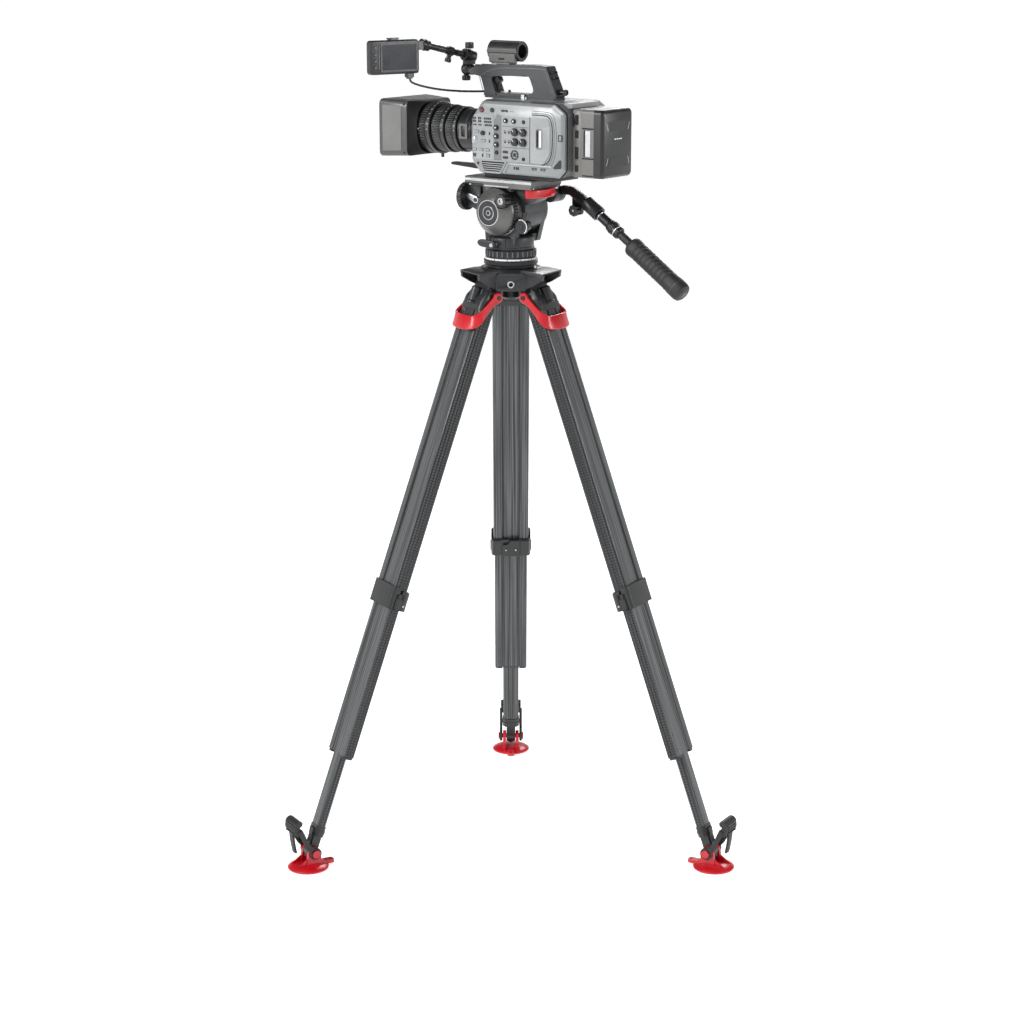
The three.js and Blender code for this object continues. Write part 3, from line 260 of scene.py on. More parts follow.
def smooth(rows, steps):
    """Catmull-Rom through rows of numbers."""
    out = []
    for i in range(len(rows) - 1):
        p = [rows[max(i - 1, 0)], rows[i], rows[i + 1], rows[min(i + 2, len(rows) - 1)]]
        for k in range(steps):
            t = k / steps
            w = (-t + 2 * t * t - t ** 3, 2 - 5 * t * t + 3 * t ** 3,
                 t + 4 * t * t - 3 * t ** 3, -t * t + t ** 3)
            out.append([sum(w[j] * p[j][c] for j in range(4)) / 2 for c in range(len(rows[0]))])
    out.append(list(rows[-1]))
    return out


def finish_mesh(obj, bevel, angle=30):
    for polygon in obj.data.polygons:
        polygon.use_smooth = True
    if bevel > 0:
        mod = obj.modifiers.new("edges", "BEVEL")
        mod.width = bevel * MM
        mod.segments = 2
        mod.limit_method = "ANGLE"
        mod.angle_limit = math.radians(angle)
        mod.harden_normals = True
    else:
        obj.data.set_sharp_from_angle(angle=math.radians(angle))


def linked(name, data):
    obj = bpy.data.objects.new(name, data)
    bpy.context.scene.collection.objects.link(obj)
    return obj


def piece(name, shape, where, body, paint, replaces=(), bevel=0.4, slot=None, lining=None):
    """One visible piece, drawn in the frame where and moving with body."""
    bm = shape.bm
    bmesh.ops.recalc_face_normals(bm, faces=bm.faces)
    bmesh.ops.scale(bm, vec=(MM, MM, MM), verts=bm.verts)
    data = bpy.data.meshes.new(name)
    bm.to_mesh(data)
    bm.free()
    obj = linked(name, data)
    obj.matrix_world = where
    data.materials.append(paint)
    if lining:
        data.materials.append(lining)
    finish_mesh(obj, bevel)
    if body:
        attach(obj, body)
    if replaces:
        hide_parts(replaces)
    return obj


def rider(where, body):
    """A maker of pieces that share one frame and one body."""
    def make(name, shape, paint, replaces=(), bevel=0.4, **others):
        return piece(name, shape, where, body, paint, replaces, bevel, **others)
    return make


on_base, on_pan, on_tilt = rider(RIG, "head_base"), rider(RIG, "pan"), rider(RIG, "tilt")
on_camera, on_lens, on_battery = rider(CAMERA, "camera"), rider(LENS, "camera"), rider(CAMERA, "battery")


def refined(node, body, paint, bevel=0.6):
    """A finer copy of a CAD node: flat faces joined, edges rounded and shaded smooth."""
    bm = bmesh.new()
    bm.from_mesh(frame["nodes"][node].data)
    bmesh.ops.remove_doubles(bm, verts=bm.verts, dist=1e-6)
    bmesh.ops.dissolve_limit(bm, angle_limit=math.radians(1), verts=bm.verts, edges=bm.edges)
    data = bpy.data.meshes.new(node + "_finished")
    bm.to_mesh(data)
    bm.free()
    obj = linked(node + "_finished", data)
    data.materials.append(paint)
    finish_mesh(obj, bevel, 32)
    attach(obj, body)
    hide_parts(node)
    return obj


# ---- materials -----------------------------------------------------------------------------

class Nodes:
    def __init__(self, name):
        self.mat = bpy.data.materials.new(name)
        self.mat.use_nodes = True
        self.tree = self.mat.node_tree
        self.shader = self.tree.nodes["Principled BSDF"]
        self.coords = self.tree.nodes.new("ShaderNodeTexCoord").outputs["Object"]

    def node(self, kind, **values):
        made = self.tree.nodes.new("ShaderNode" + kind)
        for key, value in values.items():
            if hasattr(made, key):
                setattr(made, key, value)
        return made

    def link(self, a, b):
        self.tree.links.new(a, b)

    def noise(self, scale, detail=2, stretch=(1, 1, 1)):
        mapping = self.node("Mapping")
        mapping.inputs["Scale"].default_value = stretch
        self.link(self.coords, mapping.inputs["Vector"])
        noise = self.node("TexNoise")
        noise.inputs["Scale"].default_value = scale
        noise.inputs["Detail"].default_value = detail
        self.link(mapping.outputs[0], noise.inputs["Vector"])
        return noise.outputs["Fac"]

    def ramp(self, source, low, high, a, b):
        ramp = self.node("ValToRGB")
        ramp.color_ramp.elements[0].position = low
        ramp.color_ramp.elements[1].position = high
        ramp.color_ramp.elements[0].color = (*a, 1)
        ramp.color_ramp.elements[1].color = (*b, 1)
        self.link(source, ramp.inputs["Fac"])
        return ramp.outputs["Color"]

    def mix(self, factor, a, b, mode="MIX"):
        mix = self.node("Mix", data_type="RGBA", blend_type=mode)
        for socket, value in ((mix.inputs["Factor"], factor), (mix.inputs[6], a), (mix.inputs[7], b)):
            if isinstance(value, (int, float)):
                socket.default_value = value
            elif isinstance(value, tuple):
                socket.default_value = (*value, 1)
            else:
                self.link(value, socket)
        return mix.outputs[2]

    def math(self, operation, a, b=0.0):
        made = self.node("Math", operation=operation)
        for socket, value in zip(made.inputs, (a, b)):
            if isinstance(value, (int, float)):
                socket.default_value = value
            else:
                self.link(value, socket)
        return made.outputs[0]

    def bump(self, height, strength, distance):
        bump = self.node("Bump")
        bump.inputs["Strength"].default_value = strength
        bump.inputs["Distance"].default_value = distance
        self.link(height, bump.inputs["Height"])
        self.link(bump.outputs[0], self.shader.inputs["Normal"])


def shade(color, factor):
    return tuple(min(1, c * factor) for c in color)


def surface(name, color, rough, metal=0.0, grain=1400, bump=0.25, edge_wear_and_highlight=0.0, tint=0.12, coat=0.0):
    """Painted or moulded surface: fine grain, slow colour drift and paler edges that are partly rubbed wear
    and partly a painted highlight.
    """
    n = Nodes(name)
    drift = n.ramp(n.noise(22, 4), 0.3, 0.7, shade(color, 1 - tint), shade(color, 1 + tint))
    fine = n.noise(grain, 3)
    base = n.mix(0.35, drift, n.ramp(fine, 0.35, 0.65, shade(color, 0.75), shade(color, 1.3)))
    if edge_wear_and_highlight:
        # Paler colour on sharp convex edges (pointiness): partly rubbed wear, partly a painted highlight
        # along the edges.
        edge = n.ramp(n.node("NewGeometry").outputs["Pointiness"], 0.52, 0.6, (0, 0, 0), (edge_wear_and_highlight,) * 3)
        pale = tuple(min(1, 0.12 + c * 1.9) for c in color)
        base = n.mix(edge, base, pale)
    n.link(base, n.shader.inputs["Base Color"])
    n.shader.inputs["Metallic"].default_value = metal
    n.shader.inputs["Coat Weight"].default_value = coat
    n.link(n.math("ADD", n.math("MULTIPLY", n.noise(60, 4), 0.22), rough - 0.11),
           n.shader.inputs["Roughness"])
    n.bump(fine, bump, 0.0002)
    return n.mat


def carbon(name):
    """Carbon laminate on the leg tubes: drawn streaks with a painted sheen and painted shade at the recess
    edges on the wide faces, dotted weave on the sides.
    """
    n = Nodes(name)
    normal = n.node("SeparateXYZ")
    n.link(n.tree.nodes["Texture Coordinate"].outputs["Normal"], normal.inputs[0])
    place = n.node("SeparateXYZ")
    n.link(n.coords, place.inputs[0])
    # Mask of the wide faces by their normal: they get the lighter streaked colour, a painted sheen over the
    # fibre streaks, while the sides stay dark.
    wide = n.ramp(n.math("ABSOLUTE", normal.outputs["X"]), 0.35, 0.7, (0, 0, 0), (1, 1, 1))
    streak = n.noise(1, 3, (260, 420, 3.5))
    faces = n.ramp(streak, 0.36, 0.66, (0.01, 0.0112, 0.012), (0.12, 0.128, 0.13))
    # Dark lines along the recess edges on the wide faces: painted shade in the step of the recess.
    from_edge = n.math("ABSOLUTE", n.math("SUBTRACT", n.math("ABSOLUTE", place.outputs["Y"]), 0.0165))
    band = n.ramp(from_edge, 0.001, 0.005, (0.22, 0.24, 0.25), (1, 1, 1))
    faces = n.mix(1.0, faces, band, "MULTIPLY")
    rib = n.math("SINE", n.math("MULTIPLY", place.outputs["X"], 900))
    dot = n.math("SINE", n.math("MULTIPLY", place.outputs["Z"], 1150))
    weave = n.math("MULTIPLY", n.math("ADD", rib, 1.0), n.math("ADD", dot, 1.3))
    sides = n.ramp(weave, 0.9, 3.2, (0.003, 0.0033, 0.0036), (0.045, 0.047, 0.05))
    n.link(n.mix(wide, sides, faces), n.shader.inputs["Base Color"])
    n.shader.inputs["Metallic"].default_value = 0.35
    n.shader.inputs["Coat Weight"].default_value = 0.25
    n.link(n.math("ADD", n.math("MULTIPLY", streak, 0.3), 0.2), n.shader.inputs["Roughness"])
    n.bump(n.math("ADD", n.math("MULTIPLY", weave, 0.25), streak), 0.3, 0.0003)
    return n.mat


def lens_glass():
    n = Nodes("lens_glass")
    rings = n.ramp(n.noise(9, 1), 0.4, 0.7, (0.01, 0.012, 0.03), (0.05, 0.02, 0.06))
    n.link(rings, n.shader.inputs["Base Color"])
    n.shader.inputs["Roughness"].default_value = 0.04
    n.shader.inputs["Coat Weight"].default_value = 1.0
    return n.mat


def screen_glass():
    n = Nodes("screen_glass")
    n.link(n.ramp(n.noise(25, 2), 0.3, 0.8, (0.006, 0.008, 0.012), (0.02, 0.024, 0.032)),
           n.shader.inputs["Base Color"])
    n.link(n.math("ADD", n.math("MULTIPLY", n.noise(180, 3), 0.1), 0.2), n.shader.inputs["Roughness"])
    n.shader.inputs["Specular IOR Level"].default_value = 0.12
    return n.mat


BLACK = surface("black_cast", (0.011, 0.0115, 0.013), 0.36, 0.3, 1500, 0.3, 0.12)
DARK = surface("dark_grey_cast", (0.028, 0.029, 0.031), 0.38, 0.35, 1300, 0.35, 0.14)
STEEL_GREY = surface("mid_grey_hammered", (0.115, 0.115, 0.11), 0.4, 0.45, 700, 0.5, 0.15)
SILVER = surface("satin_silver", (0.5, 0.51, 0.52), 0.3, 0.85, 1500, 0.15, 0.1, 0.06)
BODY = surface("body_silver_paint", (0.24, 0.248, 0.252), 0.38, 0.3, 1700, 0.35, 0.15, 0.05)
BODY_DARK = surface("body_grey_paint", (0.115, 0.118, 0.12), 0.4, 0.25, 1700, 0.35, 0.15, 0.07)
HOOD_GREY = surface("hood_grey_plastic", (0.06, 0.061, 0.06), 0.34, 0.1, 1500, 0.3, 0.12)
PLASTIC = surface("black_plastic", (0.009, 0.0095, 0.0105), 0.36, 0.0, 1600, 0.3, 0.1)
BLACK_MATTE = surface("matte_black", (0.004, 0.004, 0.0045), 0.8, 0.0, 1600, 0.2)
RED = surface("red_plastic", (0.46, 0.003, 0.01), 0.34, 0.0, 1200, 0.3, 0.05, 0.08, 0.15)
DARK_RED = surface("dark_red_rubber", (0.12, 0.01, 0.015), 0.45, 0.0, 1500, 0.3)
RUBBER = surface("black_rubber", (0.011, 0.011, 0.012), 0.55, 0.0, 1000, 0.6, 0.08)
BATTERY_GREY = surface("battery_grey_plastic", (0.125, 0.12, 0.113), 0.42, 0.05, 1500, 0.4, 0.12)
MARK = surface("white_marking", (0.7, 0.71, 0.72), 0.5, 0.0, 1500, 0.1)
CARBON = carbon("carbon_laminate")
GLASS = lens_glass()
SCREEN = screen_glass()


# ---- camera, light and floor ---------------------------------------------------------------

def look_at_object():
    data = bpy.data.cameras.new("view")
    data.sensor_width = 36
    data.lens = 85.4
    data.clip_end = 50
    data.shift_x = 0.0011
    camera = linked("view", data)
    eye_distance, eye_height, pitch = 4.593, 1.797, 14.05
    camera.location = (0, RIG.translation.y - eye_distance, eye_height)
    camera.rotation_euler = (math.radians(90 - pitch), 0, 0)
    bpy.context.scene.camera = camera


def area_light(name, place, target, size, power):
    data = bpy.data.lights.new(name, "AREA")
    data.shape = "DISK"
    data.size = size
    data.energy = power
    light = linked(name, data)
    light.location = place
    light.rotation_euler = (Vector(target) - Vector(place)).to_track_quat("-Z", "Y").to_euler()


def white_world():
    """White at the horizon and darker overhead, so that dark pieces keep their contrast."""
    world = bpy.data.worlds.new("studio")
    world.use_nodes = True
    tree = world.node_tree
    split = tree.nodes.new("ShaderNodeSeparateXYZ")
    ramp = tree.nodes.new("ShaderNodeValToRGB")
    ramp.color_ramp.elements[0].position = 0.08
    ramp.color_ramp.elements[0].color = (1, 1, 1, 1)
    ramp.color_ramp.elements[1].position = 0.3
    ramp.color_ramp.elements[1].color = (0.1, 0.103, 0.11, 1)
    tree.links.new(tree.nodes.new("ShaderNodeTexCoord").outputs["Generated"], split.inputs[0])
    tree.links.new(split.outputs["Z"], ramp.inputs["Fac"])
    tree.links.new(ramp.outputs["Color"], tree.nodes["Background"].inputs["Color"])
    tree.nodes["Background"].inputs["Strength"].default_value = 1.02
    bpy.context.scene.world = world


def sunlight(direction, strength, softness):
    data = bpy.data.lights.new("sun", "SUN")
    data.energy = strength
    data.angle = math.radians(softness)
    light = linked("sun", data)
    light.rotation_euler = Vector(direction).to_track_quat("-Z", "Y").to_euler()


FLOOR_REACH = 30
FLOOR_GAP = 0.0005


def studio():
    bpy.context.scene.view_settings.view_transform = "Standard"
    white_world()
    sunlight((0.55, 0.62, -0.9), 1.7, 30)
    aim = (0, -0.1, 1.0)
    area_light("left_box", (-2.8, -1.4, 2.2), aim, 0.9, 60)
    area_light("right_box", (2.8, -1.2, 1.8), aim, 0.9, 45)
    area_light("back_box", (0.9, 3.0, 2.6), aim, 1.6, 50)
    floor = bpy.data.meshes.new("floor")
    corners = [(x * FLOOR_REACH, y * FLOOR_REACH, 0) for x, y in ((-1, -1), (1, -1), (1, 1), (-1, 1))]
    floor.from_pydata(corners, [], [(0, 1, 2, 3)])
    obj = linked("floor", floor)
    obj.location.z = -FLOOR_GAP
    paint = surface("floor_paint", (0.93, 0.93, 0.93), 0.9, 0, 300, 0.02, 0, 0.01)
    shader = paint.node_tree.nodes["Principled BSDF"]
    shader.inputs["Emission Color"].default_value = (1, 1, 1, 1)
    shader.inputs["Emission Strength"].default_value = 0.55
    floor.materials.append(paint)


look_at_object()
studio()


# ---- monitor cable -------------------------------------------------------------------------

CABLE_ROUTE = [(130, 138, 183.5), (128, 134, 176), (119, 112, 168), (104, 80, 161), (84, 46, 157),
               (66, 22, 156), (54, 10, 156)]
CABLE_DIAMETER = 4


def monitor_cable():
    rows = smooth(CABLE_ROUTE, 4)
    shape = Shape().tube(rows, CABLE_DIAMETER / 2, 16, 1)
    obj = piece("monitor_cable_sheath", shape, CAMERA, None, RUBBER, "monitor_cable", 0)
    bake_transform(obj)


monitor_cable()


# ---- tripod legs ---------------------------------------------------------------------------

def tube_section(depth, width, corner, recess_half, recess):
    """Half of a wide tube's outline with a shallow recess, mirrored to the other half."""
    d, w = depth / 2, width / 2
    half = [(-d + recess, recess_half), (-d, recess_half + 2), (-d, w, corner)]
    for x in (-5.4, -1.8, 1.8, 5.4):
        half += [(x - 0.8, w), (x - 0.3, w - 0.7), (x + 0.3, w - 0.7), (x + 0.8, w)]
    half += [(d, w, corner), (d, recess_half + 2), (d - recess, recess_half)]
    mirrored = [(c[0], -c[1], *c[2:]) for c in reversed(half)]
    return rounded(half + mirrored, 6)


def upper_tube(side):
    shape = Shape().prism("z", tube_section(30, 72, 9, 15.5, 2.3), -618, -61.3,
                          [rect(22.7, 67.7, 7.5)])
    piece(f"{side}_upper_laminate", shape, LEG[side], f"{side}_leg", CARBON, f"{side}_upper_tube", 0.3)


def middle_tube(side):
    bores = [circle(6, 0, s * 25, 20) for s in (-1, 1)]
    slot = rounded([(-9.4, -12), (-4.4, -17), (4.4, -17), (9.4, -12), (9.4, 12), (4.4, 17), (-4.4, 17),
                    (-9.4, 12)])
    shape = Shape().prism("z", tube_section(22, 67, 7.6, 16, 0.5), -947, -400, [slot, *bores])
    body = f"{side}_middle_tube"
    piece(f"{side}_middle_laminate", shape, LEG[side], body, CARBON, body, 0.3)
    caps = Shape()
    for s in (-1, 1):
        edge = [(-11, s * 17.6, 2), (11, s * 17.6, 2), (11, s * 33.6, 8), (-11, s * 33.6, 8)]
        caps.prism("z", rounded(edge if s > 0 else edge[::-1]), -951.5, -946.5)
        for z, reach in ((-935, 24), (-905, 26)):
            caps.rod("x", 1.8, -11.3, 11.3, s * reach, z)
    caps.box(-10.6, -9.6, -16.8, 16.8, -950, -946)
    piece(f"{side}_middle_caps", caps, LEG[side], body, PLASTIC, bevel=0.6)


def lower_tube(side):
    d, w, c = 9, 16.5, 5
    section = rounded([(-d, -w + c, 1.5), (-d + c, -w, 1.5), (d - c, -w, 1.5), (d, -w + c, 1.5),
                       (d, w - c, 1.5), (d - c, w, 1.5), (-d + c, w, 1.5), (-d, w - c, 1.5)], 3)
    body = f"{side}_lower_tube"
    piece(f"{side}_lower_laminate", Shape().prism("z", section, -1109, -575), LEG[side], body, CARBON,
          body, 0.3)
    wide = [(x * 1.13, y * 1.08) for x, y in section]
    fitting = Shape().prism("z", wide, -1113, -1093)
    fitting.prism("z", [(x * 1.2, y * 1.12) for x, y in section], -1106, -1101)
    fitting.prism("x", rounded([(-9.5, -1113), (9.5, -1113), (9.5, -1145, 9), (4, -1157.4, 6),
                                (-4, -1157.4, 6), (-9.5, -1145, 9)][::-1]), -8.5, 8.5)
    fitting.rod("y", 12.3, -9.5, 9.5, 0, -1145)
    fitting.prism("y", rounded([(9, -1096), (12.5, -1100, 2), (12.5, -1128, 4), (6, -1140), (0, -1110)]),
                  -6, 6)
    piece(f"{side}_foot_fitting", fitting, LEG[side], body, PLASTIC, bevel=0.7)


def clamp_wrap(x0, x1, low, high, shape):
    """Part of the collar: a C that covers the tube from depth x0 to x1."""
    s = 1 if x1 > 0 else -1
    outline = [(x0, -40.5), (x1, -40.5, 8), (x1, 40.5, 8), (x0, 40.5), (x0, 36.5),
               (x1 - 3.2 * s, 36.5, 7), (x1 - 3.2 * s, -36.5, 7), (x0, -36.5)]
    shape.prism("z", rounded(outline if s > 0 else outline[::-1]), low, high)


def mid_clamp(side):
    shape = Shape().prism("z", rect(36.5, 81, 9), -650, -631, [rect(22.8, 67.8, 7)])
    shape.prism("z", rect(36.5, 81, 9), -632, -618.4, [rect(30.8, 72.8, 8)])
    clamp_wrap(3, 18.7, -650, -606, shape)
    clamp_wrap(-3, -18.7, -650, -612, shape)
    shape.prism("x", rounded([(-17, -650), (17, -650), (17, -622, 4), (7, -622, 3), (0, -612, 3),
                              (-17, -612, 4)]), -23.5, -17)
    for s in (-1, 1):
        ear = [(-8, s * 38), (8, s * 38), (6, s * 42.4, 3), (-6, s * 42.4, 3)]
        shape.prism("z", rounded(ear if s > 0 else ear[::-1]), -647, -628)
        shape.prism("z", rounded([(-20.5, s * 20), (-16, s * 20), (-16, s * 39), (-20.5, s * 37, 3)][::s]),
                    -650, -614)
        shape.rod("x", 3.2, -24.3, -20, s * 10, -634)
    piece(f"{side}_clamp_collar", shape, LEG[side], f"{side}_leg", PLASTIC, f"{side}_mid_clamp", 0.8)
    bits = Shape().rod("x", 1.7, -25, -22, 10, -634).rod("x", 1.7, -25, -22, -10, -634)
    bits.rod("y", 2, -41.2, 41.2, -12, -640)
    piece(f"{side}_clamp_screws", bits, LEG[side], f"{side}_leg", SILVER, bevel=0.2)


def shoulder(side):
    levels = [(7, 6.5, 26, 6), (0, 7.2, 28.5, 6), (-18, 8, 28.8, 6), (-24, 10, 31, 7), (-31, 12.5, 34, 8),
              (-38, 15.5, 35.6, 8.5), (-46, 17, 36, 9), (-61, 17.3, 36, 9)]
    rings = []
    for z, x, y, r in smooth(levels, 3):
        rings.append([(p[0], p[1], z) for p in rect(2 * x, 2 * y, min(r, 0.95 * x), steps=5)])
    shape = Shape().loft(rings[::-1])
    shape.prism("z", rect(35.6, 73.2, 9), -61.2, -52)
    shape.rod("z", 9.6, -49, -19, 15.6, 0, 2.5)
    shape.rod("z", 10.4, -52, -48, 15.6, 0, 0.8)
    shape.rod("y", 7.4, -29.2, 29.2, 0, 0, 1.2)
    for s in (-1, 1):
        rib = [(6, s * 12), (13, s * 12, 2), (13, s * 17, 2), (6, s * 17)]
        shape.prism("z", rounded(rib if s > 0 else rib[::-1]), -44, -22)
        shape.rod("y", 8.2, s * 36.4 - 1.6, s * 36.4 + 0.4, -11, -29, 0.6)
    piece(f"{side}_shoulder_casting", shape, LEG[side], f"{side}_leg", DARK, f"{side}_shoulder", 0.8)
    liner = Shape().prism("z", rect(33, 70, 9), -63.5, -60)
    liner.box(13.2, 14.6, -12, 12, -96, -62)
    piece(f"{side}_shoulder_liner", liner, LEG[side], f"{side}_leg", PLASTIC, bevel=0.4)


def brake_lever(side):
    half_path = [(-1, 40.6, 6), (0, 40.7, -1), (8, 41, -13), (18, 41, -33), (27, 39.5, -50),
                 (33.5, 31, -59),
                 (37.2, 15, -61.5), (38, 0, -62)]
    half_height = [4, 8.6, 6.4, 6.8, 10.5, 13, 14, 14.2]
    half_thick = [3, 3.2, 2.9, 2.9, 2.8, 2.7, 2.6, 2.6]
    normals = [(0, 1, 0), (0, 1, 0), (0, 1, 0), (0.1, 1, 0), (0.5, 0.8, 0), (0.85, 0.45, 0.02),
               (1, 0.15, 0.05), (1, 0, 0.05)]
    path = half_path + [(x, -y, z) for x, y, z in half_path[-2::-1]]
    ways = normals + [(x, -y, z) for x, y, z in normals[-2::-1]]
    shape = Shape().strap(path, half_height + half_height[-2::-1], half_thick + half_thick[-2::-1], ways)
    for s in (-1, 1):
        shape.rod("y", 9.2, s * 40.9 - 3.3, s * 40.9 + 3.3, 0, 0, 1.4)
    piece(f"{side}_brake_bail", shape, BAIL[side], f"{side}_brake_lever", RED, f"{side}_brake_lever", 0)
    studs = Shape()
    for s in (-1, 1):
        studs.rod("y", 4.6, s * 41.5 - 4.6, s * 41.5 + 3.6, 0, 0, 0.8)
        studs.lathe("y", [(0, s * 45.3), (1.9, s * 45.3), (1.9, s * 44.2), (0, s * 44.2)], 6)
    piece(f"{side}_brake_studs", studs, BAIL[side], f"{side}_leg", PLASTIC, bevel=0.2)


PAD_OFFSET = 6.4
SOLE = -33


def foot(side):
    body = f"{side}_foot_pad"
    pad = Shape().lathe("z", [(0, SOLE), (38, SOLE), (39.3, SOLE + 1.2), (39.4, SOLE + 3.2),
                              (38, SOLE + 4.6),
                    (31, SOLE + 8), (20, SOLE + 9.8), (0, SOLE + 10.6)], 72, PAD_OFFSET, 0)
    ear = rounded([(-15, SOLE + 5), (17, SOLE + 5), (12.5, 2, 10), (4, 11.4, 8), (-4, 11.4, 8),
                   (-12.5, 2, 10)], 8)
    for s in (-1, 1):
        pad.prism("y", ear, s * 10.2, s * 17.2)
        rib = rounded([(6, SOLE + 5), (37, SOLE + 5), (36, SOLE + 7.5, 2), (12, SOLE + 24, 4)])
        pad.prism("y", rib, s * 13.7 - 1.5, s * 13.7 + 1.5)
        pad.rod("y", 8, s * 25.8 - 1.1, s * 25.8 + 1.3, 0, 0, 0.7)
        back = rounded([(-10, SOLE + 5), (-28, SOLE + 5), (-26, SOLE + 9, 2), (-12, SOLE + 22, 4)])
        pad.prism("y", back, s * 13.7 - 1.5, s * 13.7 + 1.5)
    pad.prism("z", rect(24, 15.5, 6, PAD_OFFSET - 41, 0), SOLE + 2, SOLE + 8.5,
              [circle(2.8, PAD_OFFSET - 47, 0, 20)])
    pad.rod("y", 4.9, -26, 26, 0, 0)
    piece(f"{side}_foot_disc", pad, FOOT[side], body, RED, body, 0.7)
    grip = Shape()
    for i in range(28):
        angle = 2 * math.pi * i / 28
        x, y = PAD_OFFSET + 37.4 * math.cos(angle), 37.4 * math.sin(angle)
        grip.rod("z", 1.5, SOLE + 0.1, SOLE + 0.9, x, y, 0.2, 12)
    piece(f"{side}_foot_tread", grip, FOOT[side], body, RUBBER, bevel=0)


def foot_latch(side):
    shape = Shape()
    for s in (-1, 1):
        y = s * 21.4
        path = [(-2, y, -3), (5, y, 6), (14, y, 16), (21, y, 28), (27, y, 42), (32, y, 52)]
        shape.strap(path, [6, 5.6, 5, 4.6, 4.8, 5], [2.9] * 6, [(0, 1, 0)] * 6)
        shape.rod("y", 11.8, y - 2.9, y + 2.9, 0, 0, 1.2)
    hook = rounded([(26, 43, 5), (39, 40, 7), (43.6, 52, 8), (42, 66, 9), (34, 71.8, 8), (26, 69, 3),
                    (27, 62, 3), (33, 59, 5), (28, 53, 5)], 8)
    shape.prism("y", hook, -21.8, 21.8)
    for z in (46, 51, 56, 61):
        shape.box(41, 44.4, -17, 17, z, z + 2)
    strap = [(40, 0, 45), (39, 0, 34), (37.5, 0, 22), (34, 0, 3)]
    shape.strap(strap, [8, 8, 7.6, 7], [2.4] * 4, [(1, 0, 0)] * 4)
    body = f"{side}_foot_latch"
    piece(f"{side}_latch_rubber", shape, FOOT[side], body, RUBBER, body, 0.9)


for side in LEGS:
    for build in (upper_tube, middle_tube, lower_tube, mid_clamp, shoulder, brake_lever, foot, foot_latch):
        build(side)


# ---- hub -----------------------------------------------------------------------------------

HUB = placed((RIG.translation.x, RIG.translation.y, JOINTS["back_leg_spread"]["pos_m"][2]), (0, 1, 0), UP)


def hub_trim():
    refined("hub_casting", "hub", BLACK, 1.2)
    ports, ledges = Shape(), Shape()
    for azimuth in (30, 150, 270):
        for shape in (ports, ledges):
            shape.at(axis="Z", degrees=azimuth)
        ports.ring("x", 6.6, 4.3, 58, 61, 0, -6, 48, None, 0.7)
        ledges.prism("x", rect(30, 2.2, 1, 0, 12.4), 57, 61.2)
        ledges.prism("x", rect(1.6, 16, 0.7, -27, -6), 57, 60.9)
        ledges.prism("x", rect(1.6, 16, 0.7, 27, -6), 57, 60.9)
        for s in (-1, 1):
            ledges.rod("x", 2.2, 57, 60.6, s * 16, -6, 0.4)
    piece("hub_ports", ports, HUB, "hub", SILVER, bevel=0)
    piece("hub_panel_trim", ledges, HUB, "hub", DARK, bevel=0.3)
    rim = Shape().lathe("z", [(56, 18.6), (57.6, 19), (57.6, 20.3), (56, 20.8), (51.2, 20.6),
                              (51.2, 18.6)], 96)
    piece("hub_bowl_rim", rim, HUB, "hub", BLACK, bevel=0.2)


hub_trim()


# ---- fluid head ----------------------------------------------------------------------------

def head_base():
    shape = Shape().lathe("z", [(0, -62), (13, -62), (18.5, -57), (18.5, -34), (36, -20), (36, -4.2),
                                (48.7, -3),
                      (48.9, -0.5), (45.5, 2), (45.5, 6.5), (50.4, 6.5), (51.5, 7.8), (51.5, 14.8),
                      (50.2, 16), (47, 16), (47, 20.8), (30, 20.8), (30, 35), (0, 35)], 96)
    on_base("head_flange", shape, BLACK, "level_base", 0.3)
    scale = Shape().ring("z", 49.6, 46.5, 16.1, 19.4, sides=96)
    on_base("pan_scale_ring", scale, MARK, bevel=0)
    marks = Shape()
    for i in range(36):
        marks.at(axis="Z", degrees=10 * i)
        long = i % 3 == 0
        marks.box(49.2, 49.9, -0.35 - 0.3 * long, 0.35 + 0.3 * long, 16.4, 19.1 if long else 17.9)
    on_base("pan_scale_marks", marks, PLASTIC, bevel=0)


def drag_rings():
    ring = Shape().ring("z", 48.6, 30.6, 21.3, 34.8, sides=360, ribs=(30, 1.8), edge=1)
    piece("pan_drag_grip", ring, RIG, "pan_drag_ring", PLASTIC, "pan_drag_ring", 0)
    marks = Shape()
    for i in range(30):
        marks.at(axis="Z", degrees=12 * i)
        marks.box(48.2, 48.75, -1.1, 1.1, 23.2, 32.8)
    piece("pan_drag_pads", marks, RIG, "pan_drag_ring", STEEL_GREY, bevel=0.25)
    tilt = Shape().ring("y", 45.2, 12.6, 33.9, 45.6, 0, TILT_Z, 384, (48, 1.1), 1)
    piece("tilt_drag_grip", tilt, RIG, "tilt_drag_ring", PLASTIC, "tilt_drag_ring", 0)
    arc = Shape()
    for i in range(60, 125):
        arc.at(0, 0, TILT_Z, "Y", -i * 2.2)
        arc.box(-0.9, 0.9, 34.6, 35.4, 44.6, 45.6)
        if i % 9 == 0:
            arc.box(-0.5, 0.5, 35, 39.5, 44.7, 45.7)
    piece("tilt_drag_scale", arc, RIG, "tilt_drag_ring", MARK, bevel=0)


SIDE_KNOB = (-28, 131.5)
DIAL = (31, 131)


